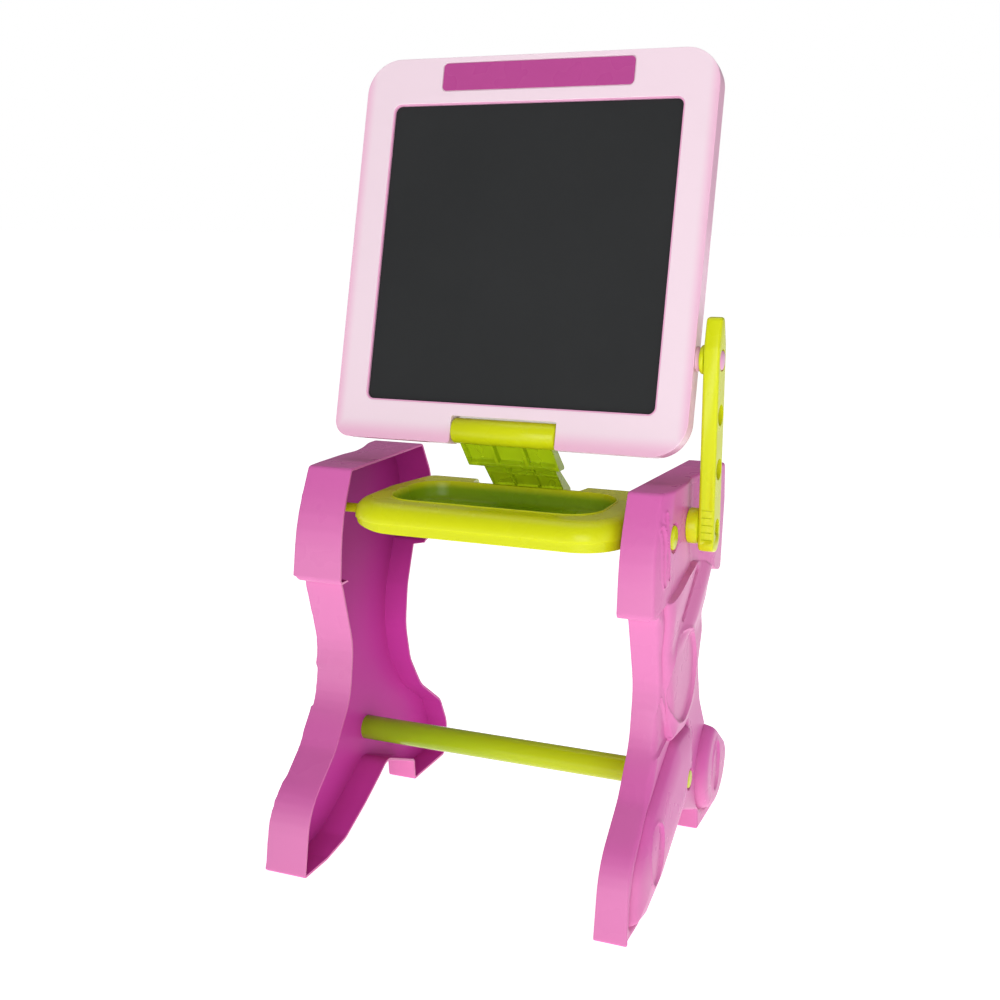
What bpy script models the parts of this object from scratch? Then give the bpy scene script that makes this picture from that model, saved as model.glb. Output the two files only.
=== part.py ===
"""Child's easel desk: a tilting board on two moulded side panels.

Frame: X to the right, Y to the back, Z up, metres. The shapes are laid out from
the board's centre line and the floor; the last step moves everything so that
the origin is the middle of the footprint.
"""
import math

import bmesh
import bpy
from mathutils import Matrix, Vector

NAME = "easel_desk"
MIDDLE = (0.0040, 0.0629)       # centre of the footprint in the layout frame
GAP = 0.0003                    # clearance between pieces that touch

# Board: x across, t up its face from the window's lower edge, n back into it
BOARD_TILT = math.radians(14.5)
WINDOW_FOOT = (0.0369, 0.4710)  # y and z of the window's lower edge
BOARD_HALF = 0.1885
BOARD_LOW = -0.0410
BOARD_HIGH = 0.3550
BOARD_CORNER = 0.036
WINDOW_HALF = 0.1545
WINDOW_HIGH = 0.3060
FRAME_DEEP = 0.0150
BOARD_DEEP = 0.0240
PANEL_SINK = 0.0030             # how far the black panel lies behind the face
PANEL_THICK = 0.0036
REBATE = 0.0080                 # hold of the frame round the black panel
NOTCH_HALF = 0.0565
NOTCH_TOP = -0.0130
HINGE_T = -0.0270
HINGE_N = 0.0100
RIB_BAYS = 4
RIB_HALF = 0.0012
BACK_WALL = 0.0028
LABEL_HALF = 0.1025
LABEL_T = (0.3205, 0.3487)

# Neck bracket and tray
BARREL_RADIUS = 0.0130
BARREL_HALF = 0.0555
PIN_RADIUS = 0.0025
PIN_HALF = 0.0750
NECK_HALF = 0.0500
NECK_WEB_HALF = 0.0400
TRAY_TOP = 0.3780
TRAY_BOTTOM = 0.3520
TRAY_FRONT = -0.0470
TRAY_BACK = 0.1280
TRAY_HALF = 0.1440
TRAY_WALL = 0.0030
TRAY_PLUG = (0.0090, 0.3595)    # y and z of the pins that carry the tray
TRAY_SHANK = 0.0048

# Side panels: each is an open shell facing the middle of the desk
WALL = 0.0030
CAP_RIM = 0.1455
LEG_RIM = 0.1520
PANEL_OUTER = {"left": 0.1985, "right": 0.1855}
LEG_INSET = 0.0035              # leg wall inside the cap's outer wall
LOBE_RISE = 0.0050              # relief of the lobes over the cap's outer wall

# Crossbar
BAR_AXIS = (0.0790, 0.0880)
BAR_RADIUS = 0.0135
BAR_BORE = 0.0110
BAR_PLUG_RADIUS = 0.0095

# Support arm with its pivot and locking peg
ARM_INNER = 0.1970
ARM_THICK = 0.0155
ARM_Y = 0.0640
ARM_HALF = 0.0145
PIVOT_Z = 0.3600
HOLE_PITCH = 0.0525
HOLE_RADIUS = 0.0105
PEG_RADIUS = 0.0094
PEG_Z = 0.5223
ARM_TOP = 0.5660
ARM_BOTTOM = 0.3440
BOSS_RADIUS = 0.0175
COLLAR_RADIUS = 0.0140

COLOURS = {
    "pale_pink": (0.90, 0.68, 0.79),
    "black": (0.033, 0.034, 0.037),
    "plum": (0.46, 0.075, 0.29),
    "magenta": (0.64, 0.15, 0.39),
    "lime": (0.64, 0.70, 0.02),
    "steel": (0.60, 0.60, 0.60),
}

# Outlines seen from the side: y, z and the radius of the rounded corner
CAP = [
    (-0.0155, 0.4050, 0.004), (0.1540, 0.4050, 0.006), (0.1750, 0.3650, 0.040),
    (0.1655, 0.2920, 0.010), (0.1450, 0.2880, 0.020), (0.1150, 0.3140, 0.040),
    (0.0480, 0.3132, 0.050), (-0.0430, 0.2905, 0.008), (-0.0375, 0.3520, 0.150),
]
LEG = [
    (-0.0310, 0.3300, 0.002), (0.1580, 0.3300, 0.002), (0.1580, 0.2910, 0.030),
    (0.1360, 0.2430, 0.060), (0.1290, 0.1980, 0.060), (0.1410, 0.1540, 0.040),
    (0.1700, 0.1130, 0.050), (0.2220, 0.0760, 0.030), (0.2420, 0.0380, 0.030),
    (0.2310, 0.0000, 0.008), (0.1475, 0.0000, 0.003), (0.1450, 0.0240, 0.004),
    (0.0700, 0.0560, 0.020), (0.0160, 0.0270, 0.050), (-0.0300, 0.0060, 0.030),
    (-0.0700, 0.0000, 0.004), (-0.1135, 0.0000, 0.003), (-0.1020, 0.0680, 0.070),
    (-0.0480, 0.1130, 0.050), (-0.0150, 0.1580, 0.060), (-0.0055, 0.2130, 0.070),
    (-0.0225, 0.2700, 0.100),
]
FOOT_LOBE = [
    (0.0680, 0.1560, 0.010), (0.0020, 0.1505, 0.030), (-0.0870, 0.0760, 0.040),
    (-0.1040, 0.0060, 0.006), (-0.0640, 0.0060, 0.006), (-0.0190, 0.0200, 0.050),
    (0.0480, 0.0560, 0.040), (0.0800, 0.1050, 0.020),
]
LEG_LOBE = [
    (-0.0060, 0.1660, 0.008), (0.0750, 0.1486, 0.030), (0.1180, 0.1700, 0.030),
    (0.1230, 0.2200, 0.060), (0.1300, 0.2750, 0.020), (0.0600, 0.2950, 0.020),
    (0.0180, 0.2600, 0.060),
]
HUB = [
    (0.1000, 0.3980, 0.010), (0.1480, 0.3980, 0.010), (0.1670, 0.3640, 0.040),
    (0.1600, 0.2960, 0.014), (0.1420, 0.2960, 0.014), (0.1100, 0.3250, 0.020),
]
HEEL_LOBE = {"centre": (0.1850, 0.0620), "radius": 0.0500}


# ---------------------------------------------------------------- helpers

def clear_scene():
    for obj in list(bpy.data.objects):
        bpy.data.objects.remove(obj, do_unlink=True)


def make_collection(name):
    collection = bpy.data.collections.new(name)
    bpy.context.scene.collection.children.link(collection)
    return collection


def make_material(name, colour):
    material = bpy.data.materials.new(name)
    material.use_nodes = True
    shader = material.node_tree.nodes["Principled BSDF"]
    shader.inputs["Base Color"].default_value = (*colour, 1.0)
    shader.inputs["Metallic"].default_value = 1.0 if name == "steel" else 0.0
    shader.inputs["Roughness"].default_value = 0.3
    material.diffuse_color = (*colour, 1.0)
    return material


def rounded(corners, step=math.radians(15)):
    """Closed outline with each corner replaced by an arc of its own radius."""
    outline = []
    count = len(corners)
    for index, (u, v, radius) in enumerate(corners):
        here = Vector((u, v))
        before = Vector(corners[index - 1][:2]) - here
        after = Vector(corners[(index + 1) % count][:2]) - here
        half_angle = before.angle(after) / 2
        reach = radius / math.tan(half_angle)
        reach = min(reach, 0.48 * before.length, 0.48 * after.length)
        radius = reach * math.tan(half_angle)
        bisector = (before.normalized() + after.normalized()).normalized()
        centre = here + bisector * (radius / math.sin(half_angle))
        start = here + before.normalized() * reach - centre
        end = here + after.normalized() * reach - centre
        sweep = start.angle_signed(end)
        steps = max(1, math.ceil(abs(sweep) / step))
        for k in range(steps + 1):
            turn = Matrix.Rotation(-sweep * k / steps, 2)
            outline.append(tuple(centre + turn @ start))
    return outline


def circle(centre, radius, count=32):
    return [
        (centre[0] + radius * math.cos(2 * math.pi * k / count),
         centre[1] + radius * math.sin(2 * math.pi * k / count))
        for k in range(count)
    ]


def rounded_box(u, v, radius):
    corners = [(u[0], v[0], radius), (u[1], v[0], radius),
               (u[1], v[1], radius), (u[0], v[1], radius)]
    return rounded(corners)


def inset(corners, distance):
    """Corner list moved inwards by a wall's thickness."""
    count = len(corners)
    area = sum(
        corners[k - 1][0] * corners[k][1] - corners[k][0] * corners[k - 1][1]
        for k in range(count)
    )
    side = 1.0 if area > 0 else -1.0
    moved = []
    for index, (u, v, radius) in enumerate(corners):
        here = Vector((u, v))
        into = (here - Vector(corners[index - 1][:2])).normalized()
        out = (Vector(corners[(index + 1) % count][:2]) - here).normalized()
        normal_in = Vector((-into.y, into.x)) * side
        normal_out = Vector((-out.y, out.x)) * side
        middle = (normal_in + normal_out).normalized()
        point = here + middle * (distance / middle.dot(normal_in))
        turns_out = (into.x * out.y - into.y * out.x) * side > 0
        new_radius = radius - distance if turns_out else radius + distance
        moved.append((point.x, point.y, max(new_radius, 0.001)))
    return moved


PLANES = {
    "YZ": Matrix(((0, 0, 1), (1, 0, 0), (0, 1, 0))).to_4x4(),
    "XZ": Matrix(((1, 0, 0), (0, 0, -1), (0, 1, 0))).to_4x4(),
    "XY": Matrix.Identity(4),
}
NORMALS = {"YZ": Vector((1, 0, 0)), "XZ": Vector((0, 1, 0)), "XY": Vector((0, 0, 1))}


class Shop:
    """Collections and materials that every new piece is put into."""

    def __init__(self):
        self.parts = make_collection(NAME)
        self.cutters = make_collection(NAME + "_cutters")
        self.materials = {
            name: make_material(name, colour) for name, colour in COLOURS.items()
        }


def finish_mesh(shop, name, mesh, material, smooth=35):
    obj = bpy.data.objects.new(name, mesh)
    mesh.materials.clear()
    mesh.materials.append(shop.materials[material])
    mesh.shade_smooth()
    mesh.set_sharp_from_angle(angle=math.radians(smooth))
    shop.parts.objects.link(obj)
    return obj


def prism(shop, name, outline, plane, low, high, material="magenta"):
    """Flat outline given a thickness between low and high along its normal."""
    curve = bpy.data.curves.new(name + "_outline", "CURVE")
    curve.dimensions = "2D"
    curve.fill_mode = "BOTH"
    curve.extrude = (high - low) / 2
    spline = curve.splines.new("POLY")
    spline.points.add(len(outline) - 1)
    for point, (u, v) in zip(spline.points, outline):
        point.co = (u, v, 0.0, 1.0)
    spline.use_cyclic_u = True
    carrier = bpy.data.objects.new(name + "_outline", curve)
    mesh = bpy.data.meshes.new_from_object(carrier)
    bpy.data.objects.remove(carrier, do_unlink=True)
    bpy.data.curves.remove(curve)
    shift = Matrix.Translation(NORMALS[plane] * (low + high) / 2)
    mesh.transform(shift @ PLANES[plane])
    bm = bmesh.new()
    bm.from_mesh(mesh)
    bmesh.ops.remove_doubles(bm, verts=bm.verts, dist=1e-6)
    bmesh.ops.dissolve_limit(bm, angle_limit=0.001, verts=bm.verts, edges=bm.edges)
    bmesh.ops.recalc_face_normals(bm, faces=bm.faces)
    bm.to_mesh(mesh)
    bm.free()
    return finish_mesh(shop, name, mesh, material)


def rod(shop, name, radius, x, centre, material="lime", end_radius=None, count=32):
    """Cylinder or cone along X from x[0] to x[1] about the point (y, z)."""
    bm = bmesh.new()
    bmesh.ops.create_cone(
        bm, cap_ends=True, segments=count, radius1=radius,
        radius2=radius if end_radius is None else end_radius, depth=x[1] - x[0],
    )
    place = Matrix.Translation(((x[0] + x[1]) / 2, centre[0], centre[1]))
    bmesh.ops.transform(bm, matrix=place @ PLANES["YZ"], verts=bm.verts)
    mesh = bpy.data.meshes.new(name)
    bm.to_mesh(mesh)
    bm.free()
    return finish_mesh(shop, name, mesh, material)


def bore_along(shop, name, radius, start, direction, length, material="steel", count=20):
    """Cylinder from a start point along any direction."""
    bm = bmesh.new()
    bmesh.ops.create_cone(
        bm, cap_ends=True, segments=count, radius1=radius, radius2=radius, depth=length,
    )
    way = Vector(direction).normalized()
    turn = Vector((0, 0, 1)).rotation_difference(way).to_matrix().to_4x4()
    middle = Vector(start) + way * length / 2
    bmesh.ops.transform(bm, matrix=Matrix.Translation(middle) @ turn, verts=bm.verts)
    mesh = bpy.data.meshes.new(name)
    bm.to_mesh(mesh)
    bm.free()
    return finish_mesh(shop, name, mesh, material)


def combine(shop, target, tool, operation="DIFFERENCE"):
    modifier = target.modifiers.new(tool.name, "BOOLEAN")
    modifier.operation = operation
    modifier.solver = "EXACT"
    modifier.object = tool
    for owner in list(tool.users_collection):
        owner.objects.unlink(tool)
    shop.cutters.objects.link(tool)
    tool.hide_render = True
    tool.display_type = "WIRE"


def bevel(obj, width, segments=2, angle=40):
    modifier = obj.modifiers.new("edge_rounding", "BEVEL")
    modifier.width = width
    modifier.segments = segments
    modifier.limit_method = "ANGLE"
    modifier.angle_limit = math.radians(angle)
    return obj


# ---------------------------------------------------------------- side panels

def panel_span(side, inner, outer):
    """Low and high x of a slab between two distances from the centre line."""
    return (inner, outer) if side == "right" else (-outer, -inner)


def make_side_panel(shop, side):
    """Open shell: cap, leg with both feet, and the lobes raised on its outside."""
    outer = PANEL_OUTER[side]
    leg_outer = outer - LEG_INSET
    lobe_outer = outer + LOBE_RISE
    name = "side_panel_" + side
    panel = prism(shop, name, rounded(CAP), "YZ", *panel_span(side, CAP_RIM, outer))
    bevel(panel, 0.0015)
    heel = circle(HEEL_LOBE["centre"], HEEL_LOBE["radius"])
    heel_inside = circle(HEEL_LOBE["centre"], HEEL_LOBE["radius"] - WALL)
    members = [
        ("leg", rounded(LEG), rounded(inset(LEG, WALL)), LEG_RIM, leg_outer),
        ("foot_lobe", rounded(FOOT_LOBE), rounded(inset(FOOT_LOBE, WALL)),
         outer - 0.014, lobe_outer),
        ("leg_lobe", rounded(LEG_LOBE), rounded(inset(LEG_LOBE, WALL)),
         outer - 0.013, lobe_outer - 0.001),
        ("hub", rounded(HUB), rounded(inset(HUB, WALL)), outer - 0.012, lobe_outer + 0.001),
        ("heel_lobe", heel, heel_inside, outer - 0.015, lobe_outer + 0.0015),
    ]
    for label, outside, _, rim, wall in members:
        tool = prism(shop, f"{name}_{label}", outside, "YZ", *panel_span(side, rim, wall))
        bevel(tool, 0.0025 if label != "leg" else 0.0015)
        combine(shop, panel, tool, "UNION")
    cavity = prism(shop, name + "_cap_cavity", rounded(inset(CAP, WALL)), "YZ",
                   *panel_span(side, CAP_RIM - 0.010, outer - WALL))
    combine(shop, panel, cavity)
    for label, _, inside, _, wall in members:
        start = LEG_RIM - 0.020 if label == "leg" else outer - 0.010
        tool = prism(shop, f"{name}_{label}_cavity", inside, "YZ",
                     *panel_span(side, start, wall - WALL))
        combine(shop, panel, tool)
    plug_holes = [(TRAY_PLUG, 0.0121), (BAR_AXIS, BAR_PLUG_RADIUS + GAP)]
    if side == "right":
        plug_holes.append(((ARM_Y, PIVOT_Z), 0.0045))
    for index, (centre, radius) in enumerate(plug_holes):
        span = panel_span(side, outer - 0.012, outer + 0.012)
        tool = rod(shop, f"{name}_hole_{index}", radius, span, centre)
        combine(shop, panel, tool)
    return panel


# ---------------------------------------------------------------- board

def board_matrix():
    """Board frame (x, n, t) to the layout frame, about the hinge axis."""
    return Matrix.Translation((0.0, *hinge_point())) @ Matrix.Rotation(-BOARD_TILT, 4, "X")


def hinge_point():
    sine = math.sin(BOARD_TILT)
    cosine = math.cos(BOARD_TILT)
    y = WINDOW_FOOT[0] + HINGE_T * sine + HINGE_N * cosine
    z = WINDOW_FOOT[1] + HINGE_T * cosine - HINGE_N * sine
    return y, z


def board_prism(shop, name, outline, low, high, material="pale_pink"):
    """Prism in the board frame, measured from the hinge axis."""
    moved = [(x, t - HINGE_T) for x, t in outline]
    return prism(shop, name, moved, "XZ", low - HINGE_N, high - HINGE_N, material)


def board_outline(shrink=0.0):
    """Rounded rectangle with the hinge notch in its lower edge."""
    half = BOARD_HALF - shrink
    low = BOARD_LOW + shrink
    radius = BOARD_CORNER - shrink
    notch = NOTCH_HALF
    return rounded([
        (-half, low, radius), (-notch, low, 0.003), (-notch, NOTCH_TOP, 0.002),
        (notch, NOTCH_TOP, 0.002), (notch, low, 0.003), (half, low, radius),
        (half, BOARD_HIGH - shrink, radius), (-half, BOARD_HIGH - shrink, radius),
    ], step=math.radians(10))


def window_outline(grow, radius):
    return rounded_box((-WINDOW_HALF - grow, WINDOW_HALF + grow),
                       (-grow, WINDOW_HIGH + grow), radius)


def cut_rib_pockets(shop, shell):
    """Square pockets between the ribs that press on the black panel."""
    pitch_x = 2 * WINDOW_HALF / RIB_BAYS
    pitch_t = WINDOW_HIGH / RIB_BAYS
    for row in range(RIB_BAYS):
        for column in range(RIB_BAYS):
            x = -WINDOW_HALF + pitch_x * column
            t = pitch_t * row
            left, right = x + RIB_HALF, x + pitch_x - RIB_HALF
            low, high = t + RIB_HALF, t + pitch_t - RIB_HALF
            outline = [(left, low), (right, low), (right, high), (left, high)]
            pocket = board_prism(shop, f"rib_pocket_{row}_{column}", outline,
                                 0.0, BOARD_DEEP - BACK_WALL)
            combine(shop, shell, pocket)


def make_board(shop):
    frame = board_prism(shop, "board_front_frame", board_outline(), 0.0, FRAME_DEEP)
    bevel(frame, 0.0045, segments=3)
    window = board_prism(shop, "window_cutter", window_outline(0.0, 0.007),
                         -0.010, FRAME_DEEP + 0.010)
    combine(shop, frame, window)
    rebate = board_prism(shop, "rebate_cutter", window_outline(REBATE + GAP, 0.010),
                         PANEL_SINK, FRAME_DEEP + 0.010)
    combine(shop, frame, rebate)
    plate_seat = rounded_box((-LABEL_HALF - GAP, LABEL_HALF + GAP),
                             (LABEL_T[0] - GAP, LABEL_T[1] + GAP), 0.0048)
    seat = board_prism(shop, "label_seat_cutter", plate_seat, -0.010, 0.0015)
    combine(shop, frame, seat)

    panel = board_prism(shop, "black_panel", window_outline(REBATE, 0.0095),
                        PANEL_SINK + GAP, PANEL_SINK + PANEL_THICK, "black")
    label = rounded_box((-LABEL_HALF, LABEL_HALF), LABEL_T, 0.0045)
    plate = board_prism(shop, "label_plate", label, 0.0002, 0.0012, "plum")

    shell = board_prism(shop, "board_back_shell", board_outline(0.0004),
                        FRAME_DEEP + GAP, BOARD_DEEP)
    bevel(shell, 0.0030)
    pad = board_prism(shop, "back_pad", window_outline(REBATE - 0.001, 0.009),
                      PANEL_SINK + PANEL_THICK + GAP, FRAME_DEEP + 0.004)
    combine(shop, shell, pad, "UNION")
    cut_rib_pockets(shop, shell)

    pin_bore = rod(shop, "pin_bore_cutter", PIN_RADIUS + GAP,
                   (-PIN_HALF - 0.001, PIN_HALF + 0.001), (0.0, 0.0), count=20)
    combine(shop, frame, pin_bore)
    pin = rod(shop, "hinge_pin", PIN_RADIUS, (-PIN_HALF, PIN_HALF), (0.0, 0.0),
              "steel", count=20)

    boss_centre = Vector((0.0, ARM_Y, PEG_Z)) - Vector((0.0, *hinge_point()))
    local = Matrix.Rotation(BOARD_TILT, 3, "X") @ boss_centre
    side_boss = rod(shop, "board_side_boss", 0.0125,
                    (BOARD_HALF + GAP, 0.1922), (local.y, local.z), "pale_pink",
                    end_radius=0.0100)
    pieces = [frame, panel, plate, shell, pin, side_boss]
    pieces += make_board_screws(shop, shell, frame)
    return pieces


def make_board_screws(shop, shell, frame):
    """Four countersunk screws that close the two halves of the board."""
    screws = []
    for index, (x, t) in enumerate(
            [(-0.172, -0.024), (0.172, -0.024), (-0.172, 0.338), (0.172, 0.338)], 1):
        up = t - HINGE_T
        head_bore = bore_along(shop, f"screw_head_cutter_{index}", 0.0044,
                               (x, BOARD_DEEP - HINGE_N - 0.003, up), (0, 1, 0), 0.010)
        shank_bore = bore_along(shop, f"screw_shank_cutter_{index}", 0.0019,
                                (x, FRAME_DEEP - HINGE_N - 0.008, up), (0, 1, 0), 0.020)
        combine(shop, shell, head_bore)
        combine(shop, shell, shank_bore)
        blind = bore_along(shop, f"screw_blind_cutter_{index}", 0.0019,
                           (x, FRAME_DEEP - HINGE_N - 0.008, up), (0, 1, 0), 0.020)
        combine(shop, frame, blind)
        screw = bore_along(shop, f"board_screw_{index}", 0.0040,
                           (x, BOARD_DEEP - HINGE_N - 0.0027, up), (0, 1, 0), 0.0022)
        shank = bore_along(shop, f"board_screw_shank_{index}", 0.0016,
                           (x, FRAME_DEEP - HINGE_N - 0.0077, up), (0, 1, 0), 0.0150)
        combine(shop, screw, shank, "UNION")
        screws.append(screw)
    return screws


# ---------------------------------------------------------------- neck and tray

def make_neck(shop):
    """Barrel, upper block and ribbed web, with a foot that bolts to the tray."""
    y, z = hinge_point()
    neck = rod(shop, "neck_bracket", BARREL_RADIUS, (-BARREL_HALF, BARREL_HALF),
               (y, z), count=40)
    block = rounded([
        (y - 0.004, z - 0.004, 0.002), (y + 0.008, z - 0.008, 0.002),
        (0.0800, 0.4030, 0.002), (0.0620, 0.4030, 0.002),
    ])
    web = rounded([
        (0.0680, 0.4100, 0.001), (0.0790, 0.4075, 0.001), (0.1245, 0.3740, 0.003),
        (0.1245, 0.3575, 0.001), (0.1040, 0.3575, 0.001), (0.1040, 0.3745, 0.004),
    ])
    for label, outline, half in (("block", block, NECK_HALF), ("web", web, NECK_WEB_HALF)):
        tool = prism(shop, f"neck_{label}", outline, "YZ", -half, half, "lime")
        combine(shop, neck, tool, "UNION")
    pocket = rounded([
        (0.0440, 0.4120, 0.001), (0.0620, 0.4140, 0.001), (0.0745, 0.4045, 0.001),
        (0.0745, 0.3960, 0.001), (0.0500, 0.3960, 0.001),
    ])
    lower_pocket = rounded([
        (0.0760, 0.3990, 0.001), (0.0840, 0.4030, 0.001), (0.1050, 0.3830, 0.001),
        (0.0980, 0.3740, 0.001),
    ])
    for index, x in enumerate((-0.0255, 0.0, 0.0255)):
        for label, outline in (("upper", pocket), ("lower", lower_pocket)):
            tool = prism(shop, f"neck_pocket_{label}_{index}", outline, "YZ",
                         x - 0.0110, x + 0.0110)
            combine(shop, neck, tool)
    bore = rod(shop, "neck_bore_cutter", PIN_RADIUS + GAP, (-0.08, 0.08), (y, z), count=20)
    combine(shop, neck, bore)
    return neck


def tray_outline(grow=0.0):
    """Plan of the tray: long, with round ends that sweep back to the rear edge."""
    half = TRAY_HALF + grow
    front = TRAY_FRONT - grow
    back = TRAY_BACK + grow
    return rounded([
        (-half, front, 0.040 + grow), (half, front, 0.040 + grow),
        (half, 0.0450, 0.040), (half - 0.034, back, 0.012), (-half + 0.034, back, 0.012),
        (-half, 0.0450, 0.040),
    ])


def make_tray(shop):
    tray = prism(shop, "tray", tray_outline(), "XY", TRAY_BOTTOM, TRAY_TOP, "lime")
    bevel(tray, 0.0060, segments=3)
    hollow = prism(shop, "tray_hollow_cutter", tray_outline(-TRAY_WALL), "XY",
                   TRAY_BOTTOM - 0.010, TRAY_TOP - TRAY_WALL)
    combine(shop, tray, hollow)
    trough_shape = rounded_box((-0.112, 0.112), (-0.016, 0.086), 0.034)
    trough_outer = rounded_box((-0.115, 0.115), (-0.019, 0.089), 0.037)
    basin = prism(shop, "tray_basin", trough_outer, "XY", TRAY_BOTTOM + 0.004,
                  TRAY_TOP - 0.001)
    combine(shop, tray, basin, "UNION")
    trough = prism(shop, "tray_trough_cutter", trough_shape, "XY", TRAY_BOTTOM + 0.007,
                   TRAY_TOP + 0.010)
    combine(shop, tray, trough)
    socket = prism(shop, "tray_neck_seat", rounded_box((-0.060, 0.060), (0.088, 0.1265), 0.002),
                   "XY", TRAY_BOTTOM + 0.002, TRAY_BOTTOM + 0.005)
    combine(shop, tray, socket, "UNION")
    cutout = rounded([(-0.060, 0.0950, 0.002), (-0.068, 0.140, 0.002),
                      (0.068, 0.140, 0.002), (0.060, 0.0950, 0.002)])
    slot = prism(shop, "tray_cutout_cutter", cutout, "XY", TRAY_BOTTOM + 0.0065,
                 TRAY_TOP + 0.010)
    combine(shop, tray, slot)
    for side, sign in (("left", -1), ("right", 1)):
        ear = rod(shop, f"tray_ear_{side}", 0.0073,
                  tuple(sorted((sign * 0.116, sign * 0.1425))), TRAY_PLUG)
        combine(shop, tray, ear, "UNION")
        bore = rod(shop, f"tray_bore_{side}", TRAY_SHANK + GAP,
                   tuple(sorted((sign * 0.120, sign * 0.160))), TRAY_PLUG, count=24)
        combine(shop, tray, bore)
    return tray


def make_neck_screws(shop, neck, tray):
    """Two screws from below the tray into the foot of the neck."""
    screws = []
    for side, x in (("left", -0.024), ("right", 0.024)):
        start = (x, 0.1185, TRAY_BOTTOM - 0.001)
        bore = bore_along(shop, f"neck_screw_cutter_{side}", 0.0020, start, (0, 0, 1), 0.0150)
        combine(shop, neck, bore)
        bore = bore_along(shop, f"seat_screw_cutter_{side}", 0.0020, start, (0, 0, 1), 0.0100)
        combine(shop, tray, bore)
        screw = bore_along(shop, "neck_screw_" + side, 0.0040,
                           (x, 0.1185, TRAY_BOTTOM - 0.0007), (0, 0, 1), 0.0024)
        shank = bore_along(shop, f"neck_screw_shank_{side}", 0.0017,
                           (x, 0.1185, TRAY_BOTTOM + 0.001), (0, 0, 1), 0.0125)
        combine(shop, screw, shank, "UNION")
        screws.append(screw)
    return screws


def make_tray_plug(shop, side):
    """Headed pin through a side panel's wall into the end of the tray."""
    outer = PANEL_OUTER[side]
    plug = rod(shop, "tray_plug_" + side, 0.0117,
               panel_span(side, outer - 0.0060, outer + 0.0004), TRAY_PLUG)
    shank = rod(shop, f"tray_plug_shank_{side}", TRAY_SHANK,
                panel_span(side, 0.1215, outer - 0.004), TRAY_PLUG, count=24)
    combine(shop, plug, shank, "UNION")
    return plug


# ---------------------------------------------------------------- crossbar

def make_crossbar(shop):
    low = -(PANEL_OUTER["left"] - LEG_INSET - WALL) + GAP
    high = PANEL_OUTER["right"] - LEG_INSET - WALL - GAP
    bar = rod(shop, "crossbar", BAR_RADIUS, (low, high), BAR_AXIS, count=40)
    bore = rod(shop, "crossbar_bore", BAR_BORE, (low - 0.01, high + 0.01), BAR_AXIS, count=32)
    combine(shop, bar, bore)
    return bar


def make_bar_plug(shop, side):
    """Stepped plug: pushed into the bar, its face seen in the lobe outside."""
    outer = PANEL_OUTER[side]
    return rod(shop, "crossbar_plug_" + side, BAR_PLUG_RADIUS,
               panel_span(side, outer - 0.028, outer + LOBE_RISE - 0.0005), BAR_AXIS)


# ---------------------------------------------------------------- support arm

def make_arm(shop):
    """Flat arm with a tapered top, four round holes and grip grooves."""
    high = ARM_INNER + ARM_THICK
    outline = rounded([
        (ARM_Y - ARM_HALF, ARM_BOTTOM + 0.002, 0.006), (ARM_Y + 0.006, ARM_BOTTOM - 0.004, 0.010),
        (ARM_Y + ARM_HALF, ARM_BOTTOM + 0.010, 0.008), (ARM_Y + ARM_HALF, PEG_Z + 0.014, 0.020),
        (ARM_Y + 0.006, ARM_TOP, 0.005), (ARM_Y - 0.006, ARM_TOP, 0.004),
        (ARM_Y - ARM_HALF, PEG_Z + 0.012, 0.020),
    ])
    arm = prism(shop, "support_arm", outline, "YZ", ARM_INNER, high, "lime")
    bevel(arm, 0.0020, segments=2)
    for index in range(3):
        hole = rod(shop, f"arm_hole_{index}", HOLE_RADIUS, (ARM_INNER - 0.01, high + 0.01),
                   (ARM_Y, PEG_Z - index * HOLE_PITCH))
        combine(shop, arm, hole)
    bore = rod(shop, "arm_pivot_bore", 0.0036 + GAP, (ARM_INNER - 0.01, high + 0.01),
               (ARM_Y, PIVOT_Z), count=24)
    combine(shop, arm, bore)
    counterbore = rod(shop, "arm_pivot_counterbore", 0.0085, (high - 0.0050, high + 0.01),
                      (ARM_Y, PIVOT_Z))
    combine(shop, arm, counterbore)
    for index in range(5):
        z = PIVOT_Z - 0.004 + index * 0.0072
        groove = prism(shop, f"arm_groove_{index}",
                       [(ARM_Y - ARM_HALF - 0.004, z - 0.0006),
                        (ARM_Y - ARM_HALF + 0.0010, z - 0.0006),
                        (ARM_Y - ARM_HALF + 0.0010, z + 0.0006),
                        (ARM_Y - ARM_HALF - 0.004, z + 0.0006)],
                       "YZ", ARM_INNER + 0.0035, high + 0.004)
        combine(shop, arm, groove)
    return arm


def make_arm_fittings(shop):
    """Pivot boss and pin on the panel, collar and peg at the board end."""
    pivot = (ARM_Y, PIVOT_Z)
    outer = PANEL_OUTER["right"]
    boss = rod(shop, "arm_pivot_boss", BOSS_RADIUS, (outer + GAP, ARM_INNER - GAP), pivot,
               count=40)
    bore = rod(shop, "boss_bore", 0.0036 + GAP, (outer - 0.01, ARM_INNER + 0.01), pivot,
               count=24)
    combine(shop, boss, bore)
    high = ARM_INNER + ARM_THICK
    pin = rod(shop, "arm_pivot_pin", 0.0036, (outer - WALL - 0.0045, high - 0.0030), pivot,
              "steel", count=24)
    head = rod(shop, "pivot_pin_head", 0.0080, (high - 0.0050 + GAP, high - 0.0020), pivot)
    combine(shop, pin, head, "UNION")

    peg_axis = (ARM_Y, PEG_Z)
    collar = rod(shop, "peg_collar", COLLAR_RADIUS, (0.1922 + GAP, ARM_INNER - GAP), peg_axis,
                 count=40)
    ring = rod(shop, "collar_bore", HOLE_RADIUS, (0.18, ARM_INNER + 0.01), peg_axis)
    combine(shop, collar, ring)
    peg = rod(shop, "locking_peg", PEG_RADIUS, (0.1922 + GAP, high + 0.0005), peg_axis,
              "magenta")
    bevel(peg, 0.0008)
    return boss, pin, collar, peg


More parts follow.
